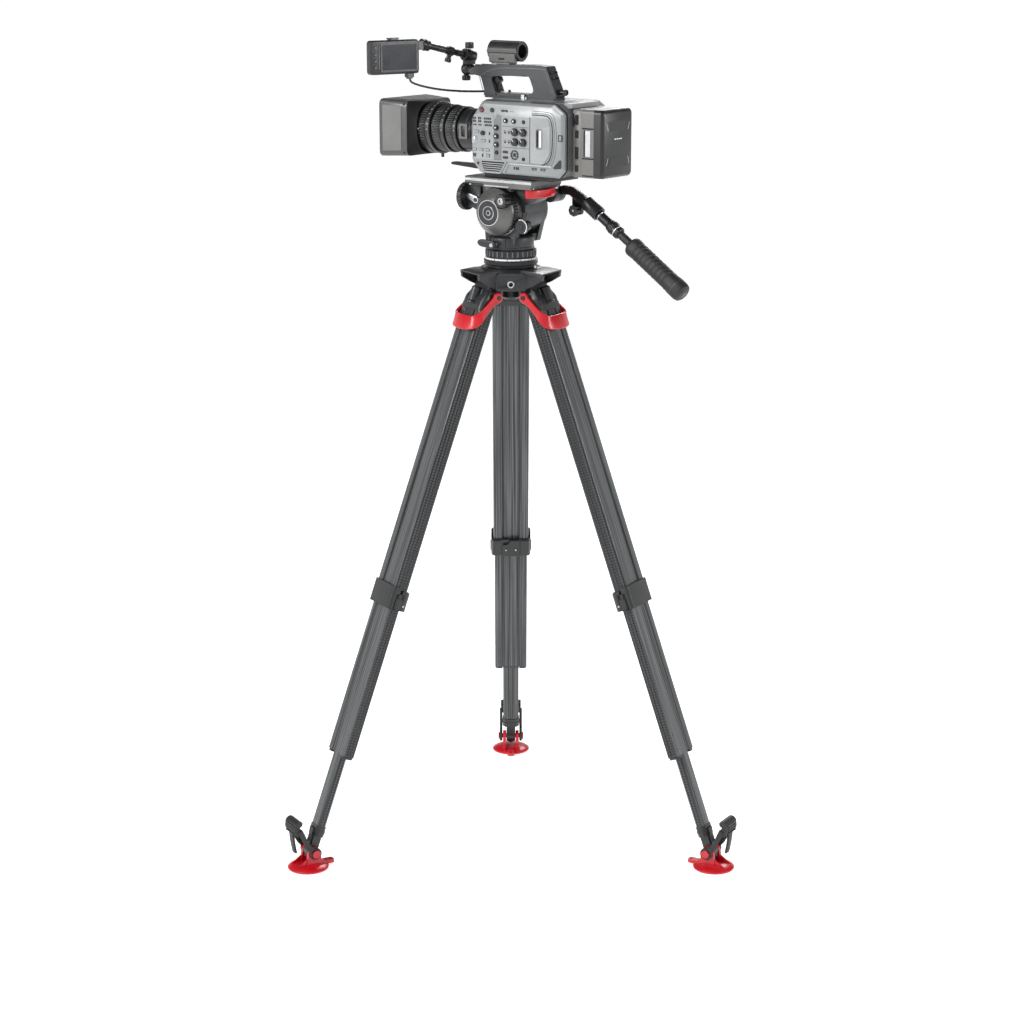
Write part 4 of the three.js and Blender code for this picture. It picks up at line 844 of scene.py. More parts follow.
def side_cap():
    inner = 45.9
    shape = Shape()
    knob_hole = 14
    shape.lathe("y", [(0, inner + 6), (12.4, inner + 6), (12.4, inner), (43, inner), (44, inner + 1.2),
                      (44, inner + 3), (42, inner + 6.5), (30, inner + 20), (27.4, inner + 22.6),
                      (25.8, inner + 23.6), (25, inner + 22.4), (0, inner + 22.4)], 96, 0, TILT_Z)
    cap = on_pan("side_cap_shell", shape, STEEL_GREY, "side_cap", 0.3)
    cutter = Shape().rod("y", knob_hole, inner + 2, inner + 40, *SIDE_KNOB)
    tool = on_pan("side_cap_cutter", cutter, STEEL_GREY, bevel=0)
    mod = cap.modifiers.new("knob_seat", "BOOLEAN")
    mod.operation, mod.solver, mod.object = "DIFFERENCE", "EXACT", tool
    cap.modifiers.move(1, 0)
    depsgraph = bpy.context.evaluated_depsgraph_get()
    seat = bpy.data.meshes.new_from_object(cap.evaluated_get(depsgraph))
    cap.modifiers.clear()
    cap.data = seat
    bpy.data.objects.remove(tool)
    disc = Shape().rod("y", 24.2, inner + 21, inner + 23, 0, TILT_Z, 0.4, 72)
    on_pan("side_cap_disc", disc, PLASTIC, bevel=0)
    rings = Shape().ring("y", 24.6, 22.9, inner + 21.5, inner + 23.8, 0, TILT_Z, 72)
    rings.ring("y", 13, 11.6, inner + 22.5, inner + 23.6, 0, TILT_Z, 72)
    rings.ring("y", 5.2, 3.8, inner + 22.5, inner + 23.6, 0, TILT_Z, 48)
    on_pan("side_cap_rings", rings, SILVER, bevel=0)


def side_knob():
    x, z = SIDE_KNOB
    knob = Shape().ring("y", 13.2, 3.4, 50, 68.3, x, z, 160, (10, 2.0), 1.6)
    knob.rod("y", 9, 49.8, 60, x, z)
    piece("side_knob_grip", knob, RIG, "side_knob", PLASTIC, "side_knob", 0)
    insert = Shape().ring("y", 6.4, 3.6, 66.5, 68.8, x, z, 48)
    insert.lathe("y", [(0, 64), (3.2, 64), (3.2, 66.8), (0, 66.8)], 6, x, z)
    piece("side_knob_insert", insert, RIG, "side_knob", SILVER, bevel=0.15)


def pan_housing():
    refined("pan_housing", "pan", DARK, 0.9)
    trim = Shape().ring("z", 44.7, 30.4, 35.5, 41, sides=96, edge=0.8)
    for angle in (28, 46, 64, 112, 130, 148):
        trim.at(axis="Z", degrees=angle)
        trim.prism("z", rounded([(43, -2), (45.4, -1.4, 1), (45.4, 1.4, 1), (43, 2)]), 40, 58)
    trim.at(axis="Z", degrees=92)
    trim.prism("x", [(-9, 49), (0, 41.5), (9, 49), (0, 56.5)], 42, 45.6)
    on_pan("pan_housing_ribs", trim, DARK, bevel=0.5)
    level = Shape().ring("y", 7.8, 5.4, 33, 34.6, 22, 74, 40)
    on_pan("bubble_level_ring", level, SILVER, bevel=0)


def head_levers():
    x, z = -59, 84
    disc = Shape().ring("y", 14.4, 0, 38.2, 45.2, x, z, 72, None, 1.4)
    disc.strap([(x - 1, 41.7, z + 4), (x - 4, 41.7, z + 12), (x - 7, 41.7, z + 20),
                (x - 8.5, 41.7, z + 27)],
               [5, 4.6, 4.2, 3.6], [3] * 4, [(0, 1, 0)] * 4)
    disc.rod("y", 5, 45, 46.6, x, z, 0.6)
    piece("level_lever_cam", disc, RIG, "level_lever", PLASTIC, "level_lever", 0.3)
    line = Shape()
    for i in range(24):
        line.at(x, 0, z, "Y", -70 - i * 7)
        line.box(12.6, 13.9, 44.6, 45.6, -0.9, 0.9)
    piece("level_lever_line", line, RIG, "level_lever", MARK, bevel=0)
    px, pz = 2, 46
    brake = Shape().strap([(px - 6, 54.8, pz - 1), (px, 54.8, pz), (px + 13, 55.4, pz + 2),
                           (px + 26, 56, pz + 3),
                           (px + 33, 56, pz + 4)], [6.4, 8.6, 7.6, 6.6, 3], [3.4, 3.8, 3.3, 2.7, 1.6],
                          [(0, 1, 0)] * 5)
    piece("pan_brake_paddle", brake, RIG, "pan_brake_lever", DARK, "pan_brake_lever", 0)
    boss = Shape().rod("y", 4, 57, 59.4, px, pz, 0.7)
    piece("pan_brake_screw", boss, RIG, "pan_brake_lever", SILVER, bevel=0)
    tx, ty, tz = 54, 34.3, 126
    tilt = Shape().strap([(tx - 6, ty + 3, tz - 3), (tx, ty + 3, tz), (tx + 9, ty + 3.2, tz + 3.6),
                          (tx + 18, ty + 3.2, tz + 6.6), (tx + 22.5, ty + 3, tz + 8)],
                         [3.4, 6.8, 6.2, 5.2, 2.4], [1.8, 2.8, 2.6, 2.3, 1.2], [(0, 1, 0)] * 5)
    piece("tilt_brake_paddle", tilt, RIG, "tilt_brake_lever", SILVER, "tilt_brake_lever", 0)


def tilt_block():
    refined("tilt_drum", "tilt", DARK, 0.8)
    rails = Shape()
    for s in (-1, 1):
        rails.prism("x", rounded([(s * 39.6, 154), (s * 39.6, 156.4, 0.5), (s * 36, 157.8, 0.5),
                                  (s * 36, 154)][::s]), -83, 69)
    on_tilt("platform_rails", rails, SILVER, bevel=0.2)
    saddle = Shape().loft([[(x, y, z) for x, z in ((-18, 128 + d), (44 - d, 128 + d),
                                                   (52 - 2 * d, 152.6), (-26, 152.6))]
                 for y, d in ((19.9, 0), (26, 1), (31, 4), (33.5, 9))])
    on_tilt("saddle_cheek", saddle, STEEL_GREY, bevel=1.2)
    dial = Shape().ring("x", 26.6, 0, 77, 86.9, *DIAL, 240, (36, 0.9), 1)
    dial.rod("x", 17, 86, 87.4, *DIAL, 0.8)
    dial.prism("x", rect(4, 26, 1.8, *DIAL), 87, 88.6)
    piece("dial_grip", dial, RIG, "counterbalance_dial", PLASTIC, "counterbalance_dial", 0)
    marks = Shape()
    for i in range(10):
        marks.at(0, *DIAL, "X", 36 * i)
        marks.box(86.4, 87.1, -0.6, 0.6, 19, 23)
    piece("dial_marks", marks, RIG, "counterbalance_dial", MARK, bevel=0)
    refined("plate_lock_lever", "plate_lock_lever", RED, 1.4).name = "plate_lock_grip"


def camera_plate():
    refined("camera_plate", "camera", STEEL_GREY, 0.7)
    trim = Shape()
    low, top = PLATE_TOP - 12.4, PLATE_TOP
    for s in (-1, 1):
        trim.prism("x", rounded([(s * 45.8, top - 8.4), (s * 46.8, top - 7.6, 0.4),
                                 (s * 46.8, top - 3.2, 0.4),
                                 (s * 45.8, top - 2.4)][::s]), -84, 74)
        trim.prism("x", rounded([(s * 40.5, low - 4.2), (s * 46.3, low - 4.2, 1), (s * 46.3, low - 1.6),
                                 (s * 40.5, low - 1.6)][::s]), -30, 28)
    piece("plate_edge_strips", trim, RIG, "camera", SILVER, bevel=0.3)
    screws = Shape()
    for x in (-70, -30, 12, 54):
        for s in (-1, 1):
            screws.rod("z", 3.2, top - 1, top + 0.25, x, s * 41.6, 0.2, 24)
    piece("plate_screws", screws, RIG, "camera", PLASTIC, bevel=0)


for build in (head_base, drag_rings, side_cap, side_knob, pan_housing, head_levers, tilt_block,
              camera_plate):
    build()


# ---- pan bar -------------------------------------------------------------------------------

def pan_bar():
    refined("pan_bar_bracket", "pan_bar", BLACK, 0.9)
    tube = Shape().lathe("x", [(0, 8), (0, -12), (9.5, -12), (9.5, 44.6), (11, 45.6), (12, 47.5), (12, 71),
                               (11.8, 73), (10, 74.8), (8.3, 74.8), (8.3, 8)], 48)
    tube.ring("x", 12.8, 9, 52, 60, sides=96, ribs=(24, 0.5))
    piece("pan_bar_sleeve", tube, BAR, "pan_bar", BLACK, "pan_bar_tube", 0.2)
    band = Shape().ring("x", 12.35, 11.5, 64, 66.5).ring("x", 9.95, 9.2, 20, 21.6)
    piece("pan_bar_bands", band, BAR, "pan_bar", SILVER, bevel=0)
    grip = [(0, 36), (7.9, 36), (7.9, 104), (14, 104.4), (17, 107), (18.8, 112)]
    for i in range(9):
        x = 124 + i * 10
        grip += [(17.9, x), (17.0, x + 1), (17.0, x + 2.6), (17.8, x + 3.6)]
    grip += [(18.2, 218), (18.9, 224), (18.9, 240), (17.2, 246.5), (13, 249.6), (0, 249.8)]
    piece("pan_bar_rubber", Shape().lathe("x", grip, 64), BAR, "pan_bar_grip", RUBBER, "pan_bar_grip", 0.3)
    cap = Shape().rod("x", 7, 249, 250.4, edge=0.5).ring("x", 19.1, 17.5, 228, 231)
    piece("pan_bar_end_disc", cap, BAR, "pan_bar_grip", DARK, bevel=0)
    x, z = -113, 110
    knob = Shape().ring("y", 11.2, 2.5, -55.6, -43.9, x, z, 120, (8, 1.8), 1.6)
    knob.rod("y", 7, -55.6, -46, x, z)
    piece("pan_bar_knob", knob, RIG, "pan_bar_clamp_knob", PLASTIC, "pan_bar_clamp_knob", 0)
    pin = Shape().rod("y", 2.4, -46.5, -43.6, x, z, 0.5)
    piece("pan_bar_knob_pin", pin, RIG, "pan_bar_clamp_knob", SILVER, bevel=0)
    rosette = Shape().ring("y", 14.6, 4, -69.2, -67.4, -64, 137.5, 96, (24, 0.8))
    piece("rosette_washer", rosette, RIG, "pan_bar", DARK, bevel=0)


pan_bar()


# ---- camera body ---------------------------------------------------------------------------

BODY_LOW, BODY_HIGH = 10, 146
REAR, FRONT, RIGHT, LEFT = -178, 42.5, -71, 71
FACE = LEFT
LENS_Z = (LENS.translation.z - CAMERA.translation.z) / MM


def body_outline(inset):
    r, f, b, t = REAR + inset, FRONT - inset, BODY_LOW + inset, BODY_HIGH - inset
    return rounded([(f - 20, b, 4), (f - 1.5, b + 21, 8), (f, LENS_Z - 2, 60), (f - 1, t - 33, 10),
                    (f - 18, t - 10, 8), (f - 26, t, 8), (r + 24, t, 10), (r, t - 16, 12),
                    (r, b + 14, 8), (r + 14, b, 6)], 10)


def shells():
    body = Shape().loft([[(p[0], y, p[1]) for p in body_outline(inset)]
               for y, inset in ((RIGHT, 5), (RIGHT + 2, 2), (RIGHT + 5, 0), (54.5, 0), (58.4, 1.6),
                                (59.4, 3))])
    on_camera("body_shell", body, BODY_DARK, "camera_body", 0.3)
    left = Shape().loft([[(p[0], y, p[1]) for p in body_outline(inset)]
               for y, inset in ((59.7, 2.4), (63, 1.6), (66.4, 2.2), (69.4, 5.2), (71, 8))])
    on_camera("left_shell", left, BODY, "camera_left_panel", 0.3)
    roof = Shape().prism("z", rect(150, 66, 10, -52, 0), BODY_HIGH - 1, BODY_HIGH + 0.2)
    roof.prism("z", rect(44, 90, 6, -150, 0), BODY_HIGH - 9, BODY_HIGH - 0.8)
    on_camera("roof_step", roof, BODY, bevel=0.5)
    seam = Shape().loft([[(p[0], y, p[1]) for p in body_outline(1.1)] for y in (58.6, 60.2)])
    on_camera("shell_seam", seam, BLACK_MATTE, bevel=0)


def panel_plates():
    """Raised and sunk areas of the left control panel."""
    plate = Shape().prism("y", rounded([(30, 35, 4), (34.5, 62, 10), (33, 118, 8), (20, 121, 5),
                                        (-12, 121, 3),
                              (-16, 116, 3), (-16, 37, 3), (-12, 35, 3)]), FACE - 0.8, FACE + 0.5)
    plate.prism("y", rounded([(-34, 36, 2), (-34, 119, 2), (-99, 119, 2), (-99, 36, 2)]), FACE - 0.8,
                FACE + 0.6)
    plate.prism("y", rounded([(-101, 36, 2), (-101, 119, 2), (-141, 119, 9), (-146, 106, 8), (-146, 56, 14),
                              (-132, 36, 8)]), FACE - 0.8, FACE + 1.1, [rect(12, 36, 5, -121, 81)])
    on_camera("panel_plates", plate, BODY, bevel=0.5)
    sunk = Shape().prism("y", rounded([(-15.5, 36, 2), (-15.5, 108, 2), (-23, 122, 2), (-33.5, 119, 2),
                                       (-33.5, 36, 2)]),
               FACE - 0.6, FACE + 0.12)
    sunk.prism("y", rect(12, 36, 5, -121, 81), FACE - 0.6, FACE + 0.2)
    on_camera("panel_channel", sunk, BODY_DARK, bevel=0)
    lines = Shape().box(-100.5, -99.5, FACE - 0.5, FACE + 0.35, 36, 119)
    for z in (100.2, 61.8):
        lines.box(-98, -35, FACE, FACE + 0.75, z - 0.3, z + 0.3)
    on_camera("panel_lines", lines, BLACK_MATTE, bevel=0)


def key(shape, x, z, width, height, proud=1.4, radius=1.2, base=FACE + 0.3):
    shape.prism("y", rect(width, height, radius, x, z, steps=4), base, base + proud)


def dial_knob(shape, x, z, radius, proud, ribs=18):
    shape.lathe("y", [(0, FACE), (radius, FACE), (radius, FACE + proud - 0.8), (radius - 0.8, FACE + proud),
                      (radius * 0.55, FACE + proud), (radius * 0.45, FACE + proud - 0.5),
                      (0, FACE + proud - 0.5)], ribs * 8, x, z, (ribs, 0.35, 1, 2))


def panel_controls():
    dark, pale, light = Shape(), Shape(), Shape()
    for x, z in ((32, 112), (28, 112), (19.5, 112), (15.5, 112), (32, 106.5), (28, 106.5),
                 (19.5, 106.5), (15.5, 106.5)):
        key(dark, x, z, 2.6, 4, 1.0, 0.5)
    for row, z in enumerate((112, 106, 100)):
        for x in (6, 1.5, -3, -7.5):
            key(dark, x - row, z, 3, 3.6, 1.0, 0.5)
    for x in (31, 26.5, 19, 14.6):
        key(dark, x, 100, 3.2, 2.6, 0.9, 1)
    for x, z, w in ((25, 87.6, 11), (9.5, 71, 11), (29.5, 54.3, 9.5), (14.5, 54.3, 9.5), (-0.5, 54.3, 9.5)):
        key(dark, x, z, w + 1.2, 5.2, 0.5, 2.6)
        key(pale, x, z, w, 4, 1.3, 2)
    for z in (85, 70.8):
        key(dark, -5.6, z, 2.2, 5.6, 1.2, 1)
    for x, z in ((31.5, 44), (27.5, 44), (10.5, 44)):
        key(dark, x, z, 2.4, 6.5, 1.1, 1)
    key(dark, -2, 44, 9, 6, 0.5, 1.2)
    key(pale, -2, 44, 7, 4.4, 1.2, 1)
    for x in (-37, -45):
        key(dark, x, 128.3, 6.4, 3.4, 1.8, 1.6)
    for x in (-55, -60):
        key(dark, x, 127.6, 1.4, 1.4, 0.6, 0.6)
    for z in (90, 72.6):
        for x in (-42.3, -51.4):
            key(dark, x, z, 2.8, 5.6, 1.6, 1, FACE + 0.5)
            key(light, x - 1.1, z + 1.2, 0.8, 2, 1.9, 0.3, FACE + 0.5)
    for z in (53.3, 43.2):
        key(dark, -43.3, z, 11.5, 4.4, 1.5, 2.1, FACE + 0.5)
    for x, z, r in ((-44, 110.6, 4.4), (-63, 110.4, 4.4), (9.8, 85.3, 4.4), (-85.4, 110, 3.6),
                    (-85.4, 42.3, 3.4),
                    (-21.6, 96.8, 5), (-21.6, 81.2, 5), (-21.6, 65.6, 5), (-22.2, 51.2, 3.8)):
        dial_knob(dark, x, z, r, 4.2 if r > 4 else 2.6, 12)
    for x, z in ((-44, 110.6), (-63, 110.4), (-21.6, 96.8), (-21.6, 81.2), (-21.6, 65.6)):
        light.lathe("y", [(0, FACE + 3), (1.5, FACE + 3), (1.5, FACE + 4.25), (0, FACE + 4.25)], 24, x, z)
    for x in (-65.6, -84.6):
        for z in (91, 72.8):
            dial_knob(dark, x, z, 7.2, 6, 20)
            light.at(x, 0, z, "Y", 38)
            light.box(-0.55, 0.55, FACE + 5, FACE + 6.15, 1, 6)
            light.at()
    dark.ring("y", 9.2, 6.4, FACE + 0.3, FACE + 2.2, -64.4, 49, 96, (24, 0.5))
    dark.rod("y", 3.4, FACE + 0.3, FACE + 2, -64.4, 49)
    for i in range(8):
        angle = math.radians(45 * i)
        light.rod("y", 0.5, FACE + 1.5, FACE + 2.35, -64.4 + 7.8 * math.cos(angle),
                  49 + 7.8 * math.sin(angle), 0.1, 10)
    dark.ring("y", 5.4, 3.9, FACE + 0.1, FACE + 1, 13, 128, 48)
    dark.rod("y", 4.4, FACE + 0.2, FACE + 1.8, -11.8, 128.1)
    dark.box(25, 27.4, FACE, FACE + 1.5, 66, 78)
    on_camera("panel_dark_controls", dark, PLASTIC, bevel=0.25)
    on_camera("panel_pale_keys", pale, BODY, bevel=0.4)
    on_camera("panel_marks", light, MARK, bevel=0)
    wheel = Shape().ring("z", 8, 0, 66, 78, 29.6, FACE - 4, 144, (24, 0.5), 1)
    on_camera("panel_thumbwheel", wheel, SILVER, bevel=0)
    record = Shape().lathe("y", [(0, FACE - 3), (4.3, FACE - 3), (4.3, FACE + 1), (3.5, FACE + 1.6),
                                 (1.6, FACE + 1.15), (0, FACE + 1)], 48, 13, 128)
    piece("record_key", record, CAMERA, "record_button", DARK_RED, "record_button", 0.2)


def panel_door():
    window = Shape().prism("y", rect(4.6, 30, 2, -118.2, 81), FACE + 0.1, FACE + 0.7)
    on_camera("door_window_dark", window, BLACK_MATTE, bevel=0)
    bright = Shape().prism("y", rect(5, 31, 2, -123.2, 81), FACE + 0.1, FACE + 1)
    on_camera("door_window_light", bright, MARK, bevel=0)
    frame_shape = Shape().prism("y", rect(16, 40, 7, -121, 81), FACE + 0.9, FACE + 1.7,
                                [rect(12.6, 36.6, 5.4, -121, 81)])
    on_camera("door_window_frame", frame_shape, BODY, bevel=0.3)
    for i, (offset, paint) in enumerate(((0, BLACK_MATTE), (4, BODY_DARK), (9, BODY_DARK))):
        path = [(-128 - offset, 34 - offset * 0.6), (-141 - offset, 40 - offset * 0.4), (-149 - offset, 56),
                (-151 - offset, 80), (-150 - offset, 106), (-143 - offset, 121 + offset * 0.5),
                (-130 - offset, 124 + offset * 0.7), (-104, 124 + offset * 0.8)]
        edge = Shape().strap([(x, FACE + 0.1, z) for x, z in path], [0.9 - 0.2 * i] * 8, [0.5] * 8,
                             [(0, 1, 0)] * 8)
        on_camera(f"door_recess_line_{i}", edge, paint, bevel=0, slot="body_dark")
    port = Shape().prism("y", rect(9, 12, 1.5, -168.5, 85), FACE - 3, FACE + 0.4,
                         [rect(5.6, 8.6, 1, -168.5, 85)])
    port.prism("y", rect(5.6, 8.6, 1, -168.5, 85), FACE - 3, FACE - 1)
    for x in (-110, -130):
        port.prism("y", rect(11, 4.6, 2.2, x, 26), FACE - 3, FACE + 0.8, [rect(8, 2, 0.9, x, 26)])
    port.prism("y", rounded([(-150, 28, 3), (-171, 30, 3), (-171.5, 50, 4)]), FACE - 3, FACE + 0.25)
    for x in (-64, -69, -73):
        port.prism("y", rect(2.6, 5, 0.6, x, 24.6), FACE - 2, FACE + 0.8)
    port.rod("y", 2.6, FACE - 2, FACE + 0.8, 22, 29)
    on_camera("panel_ports", port, PLASTIC, bevel=0.25)


def panel_grille():
    back = Shape().prism("y", rounded([(14, 34, 2), (-43, 34.6, 2), (-29, 14.5, 2), (6.5, 14.5, 2)]),
                         FACE - 2, FACE + 0.05)
    on_camera("grille_back", back, BLACK_MATTE, bevel=0)
    slats = Shape()
    for i in range(5):
        z = 30.8 - 3.9 * i
        left, right = 12.2 - (34 - z) * 0.36, -41 + (34 - z) * 0.7
        slats.prism("x", rounded([(FACE - 1, z - 0.8), (FACE + 0.9, z - 1.3, 0.4),
                                  (FACE + 0.9, z + 0.5, 0.4),
                                  (FACE - 1, z + 0.9)]), right, left)
    slats.prism("y", rounded([(17, 36.6, 2), (-48, 37.2, 2), (-31, 12.2, 2), (4, 12.2, 2)]), FACE - 1,
                FACE + 1.2,
                [rounded([(13.4, 33.9, 1.5), (-42.4, 34.4, 1.5), (-28.6, 14.7, 1.5), (6.8, 14.7, 1.5)])])
    shelf = [(FACE - 1, 30.8), (FACE + 1.4, 31, 0.6), (FACE + 0.6, 33.6, 0.6), (FACE - 1, 33.8)]
    slats.prism("x", rounded(shelf), -150, -52)
    slats.prism("y", rounded([(-50, 33.5, 1), (-53, 33.5, 1), (-41.5, 14, 1), (-38.5, 14, 1)][::-1]),
                FACE - 1, FACE + 1.3)
    on_camera("grille_slats", slats, BODY, bevel=0.3)


def right_side():
    """The operator's far side: fan outlet, connector covers and card door."""
    cover, dark = Shape(), Shape()
    cover.prism("y", rounded([(20, 40, 4), (20, 112, 6), (-60, 112, 4), (-60, 40, 4)]), RIGHT - 0.6,
                RIGHT + 3)
    cover.prism("y", rounded([(-66, 40, 4), (-66, 100, 4), (-118, 100, 4), (-118, 40, 4)]), RIGHT - 0.5,
                RIGHT + 3)
    cover.prism("y", rounded([(-124, 30, 4), (-124, 122, 4), (-168, 122, 8), (-168, 34, 6)]),
                RIGHT - 0.4, RIGHT + 3)
    on_camera("right_covers", cover, BODY_DARK, bevel=0.6)
    for i in range(9):
        dark.prism("y", rect(34, 2.6, 1.1, -19, 54 + 5.6 * i), RIGHT - 0.75, RIGHT)
    for z in (50, 66, 82, 98, 112):
        dark.ring("y", 6, 4.4, RIGHT - 1, RIGHT, -146, z, 40)
        dark.rod("y", 4.2, RIGHT - 0.5, RIGHT + 1, -146, z)
    for x in (-79, -105):
        dark.prism("y", rect(18, 4, 1.8, x, 92), RIGHT - 0.8, RIGHT)
    on_camera("right_vents", dark, BLACK_MATTE, bevel=0.2)


def base_adapter():
    refined("base_adapter", "camera", BLACK, 0.7)
    under = Shape().prism("z", rect(150, 96, 8, -60, 0), 9.8, 13)
    under.prism("z", rect(196, 118, 12, -70, 0), 10.4, 14)
    on_camera("body_underside", under, PLASTIC, bevel=0.6)


for build in (shells, panel_plates, panel_controls, panel_door, panel_grille, right_side, base_adapter):
    build()


# ---- handle and microphone holder ----------------------------------------------------------

def top_handle():
    foot_z = BODY_HIGH + 0.3
    outer = rounded([(46, foot_z), (50, foot_z + 6, 6), (61, 184, 8), (86, 187, 5), (89, 196, 5),
                     (74, 202, 8),
                     (40, 206, 20), (-60, 209, 20), (-92, 208, 5), (-117, 154, 5), (-111, foot_z,
                                                                                    3)][::-1], 10)
    opening = rounded([(26, 155, 8), (38, 185, 8), (-53, 189, 10), (-67, 156, 10)][::-1], 10)
    shape = Shape().prism("y", outer, -14, 14, [opening])
    on_camera("handle_frame", shape, DARK, "top_handle", 3.2)
    grip = Shape().prism("x", rounded([(-11, 187.5, 3), (11, 187.5, 3), (13, 198, 6), (-13, 198, 6)]),
                         -50, 32)
    for x in range(-44, 30, 6):
        grip.box(x, x + 2.6, -11.6, 11.6, 186.9, 187.6)
    on_camera("handle_grip_pad", grip, RUBBER, bevel=0.4)
    line = Shape()
    for s in (-1, 1):
        edge = [(55, 158), (62, 178), (60, 186), (30, 198), (-10, 201.5), (-84, 202), (-92, 196),
                (-108, 160)]
        line.strap([(x, s * 14.2, z) for x, z in edge], [0.7] * 8, [0.35] * 8, [(0, 1, 0)] * 8)
    on_camera("handle_edge_lines", line, STEEL_GREY, bevel=0)
    back = Shape()
    for x, z in ((-100, 196), (-104, 186), (-112, 164)):
        for y in (-6, 6):
            back.at(x, y, z, "Y", 25)
            back.rod("x", 2.2, -3.4, 1, 0, 0, 0.4, 20)
    back.at()
    back.rod("x", 4.2, -129, -112, 0, 161, 0.8)
    back.ring("x", 5.8, 4, -130.5, -125, 0, 161, 64, (12, 0.6))
    back.rod("z", 2.6, 155.8, 160.5, 3, 0, 0.6)
    on_camera("handle_rear_knob", back, PLASTIC, bevel=0.2)
    trigger = Shape().prism("y", rounded([(38, 184, 2), (26, 184, 3), (22, 176, 3), (27, 173, 2),
                                          (37, 178, 2)][::-1]), -7, 7)
    trigger.prism("y", rounded([(34, 172, 2), (27, 171, 2), (24, 160, 2), (30, 158, 2)][::-1]), -5, 5)
    on_camera("handle_trigger", trigger, PLASTIC, bevel=0.8)
    foot_parts = Shape().prism("z", rect(168, 32, 5, -32, 0), BODY_HIGH - 0.5, BODY_HIGH + 4.4)
    foot_parts.prism("z", rect(30, 12, 3, 38, 10), BODY_HIGH + 3, BODY_HIGH + 8)
    on_camera("handle_foot_rail", foot_parts, DARK, bevel=0.8)
    latch = Shape().prism("z", rect(8, 3, 1, -42, 17.4), BODY_HIGH + 0.4, BODY_HIGH + 8.4)
    latch.prism("z", rect(3, 3, 1, -49, 17), BODY_HIGH + 0.4, BODY_HIGH + 5)
    on_camera("handle_latch", latch, SILVER, bevel=0.4)
    shoe = Shape()
    for s in (-1, 1):
        shoe.prism("x", rounded([(s * 7, 200), (s * 12, 200), (s * 12, 205.4, 1),
                                 (s * 7.5, 205.4, 1)][::s]), 42, 76)
    on_camera("handle_shoe", shoe, PLASTIC, bevel=0.3)


def mic_holder():
    height = 232
    ring = Shape().ring("x", 18.9, 14, -27.5, 42.5, 0, height, 96, None, 1.2)
    ring.ring("x", 14.6, 12.6, -27, -21, 0, height, 96).ring("x", 14.6, 12.6, 36, 42, 0, height, 96)
    on_camera("mic_ring", ring, PLASTIC, "mic_holder", 0)
    lid = Shape().prism("x", rounded([(2, height + 18.6), (9, height + 17.2, 3), (20.4, height - 1, 3),
                                      (18.6, height - 2.4),
                            (8, height + 14.6, 3), (2, height + 16.6)][::-1]), -27, 42)
    lid.prism("x", rounded([(19, height - 4, 1), (17.6, height - 20, 2), (12, height - 22),
                            (12, height - 4)][::-1]),
              -23, 38)
    lid.box(-6, 36, -11, 13, 207.9, 212)
    on_camera("mic_holder_lid", lid, STEEL_GREY, bevel=0.6)
    slot = Shape().prism("y", rect(14, 3, 1, 8, height - 14), 17.6, 18.6)
    slot.at(8, 15.4, height + 8, "X", -32)
    slot.prism("y", rect(13, 1.6, 0.6, 0, -4), 0, 0.9)
    on_camera("mic_holder_slots", slot, BLACK_MATTE, bevel=0)


# ---- lens and hood -------------------------------------------------------------------------

def lens():
    barrel = Shape().lathe("x", [(0, 37), (33, 37), (33, 43), (38, 43), (40, 45.5), (40, 62),
                                 (38.6, 63), (38.6, 66),
                       (40, 67), (40, 97.5), (33.8, 97.8), (33.8, 192), (48.6, 192.2), (49.8, 194),
                       (49.8, 210.5), (46.5, 211.8), (42, 211.8), (38.5, 205), (0, 205)], 96)
    on_lens("lens_tube", barrel, BLACK, "lens_barrel", 0.3)
    glass = Shape().lathe("x", [(0, 204), (38, 204), (37, 205.6), (28, 208.2), (14, 209.8), (0, 210.2)], 72)
    on_lens("front_element", glass, GLASS, bevel=0)
    bands = {"iris": (100.2, 125.8, 43), "zoom": (128.2, 157.8, 45.2), "focus": (160.2, 191.4, 49.3)}
    for name, (start, end, radius) in bands.items():
        length = end - start
        ring = Shape().ring("x", radius, 34.4, start, start + 0.28 * length, sides=96, edge=1.2)
        ring.ring("x", radius - 1.2, 34.4, start + 0.26 * length, start + 0.36 * length, sides=96)
        ring.ring("x", radius, 34.4, start + 0.35 * length, end - 2.5, sides=480, ribs=(60, 0.9), edge=0.6)
        ring.ring("x", radius - 0.8, 34.4, end - 3, end, sides=96)
        piece(f"{name}_grip", ring, LENS, f"{name}_ring", PLASTIC, f"{name}_ring", 0)
        pale = Shape().ring("x", radius + 0.12, radius - 2, start + 1.6, start + 3.2, sides=96)
        pale.ring("x", radius + 0.1, radius - 2, start + 0.2 * length, start + 0.2 * length + 1.1, sides=96)
        piece(f"{name}_bands", pale, LENS, f"{name}_ring", STEEL_GREY, bevel=0)
        ticks = Shape()
        for i in range(16):
            ticks.at(axis="X", degrees=12 * i - 90)
            ticks.box(start + 0.1 * length, start + 0.19 * length, -0.35, 0.35, radius - 0.3, radius + 0.16)
        piece(f"{name}_scale", ticks, LENS, f"{name}_ring", MARK, bevel=0)
    details = Shape().ring("x", 40.3, 38, 50, 52, sides=96).ring("x", 40.3, 38, 78, 79.5, sides=96)
    details.prism("y", rounded([(72, -14, 2), (92, -14, 2), (92, 14, 2), (72, 14, 2)]), 37, 41.5,
                  [rect(9, 20, 1.5, 82, 0)])
    on_lens("lens_bands", details, STEEL_GREY, bevel=0.3)
    peg = Shape().rod("z", 3, -56.5, -47, 166, 0, 0.8)
    piece("focus_peg", peg, LENS, "focus_ring", PLASTIC, bevel=0)
    dot = Shape().prism("y", circle(1.4, 186, 0, 20), 48.9, 49.9)
    piece("focus_index", dot, LENS, "focus_ring", MARK, bevel=0)


def hood_ring(x, half_y, half_z, corner):
    return [(x, p[0], p[1]) for p in rect(2 * half_y, 2 * half_z, corner, steps=8)]


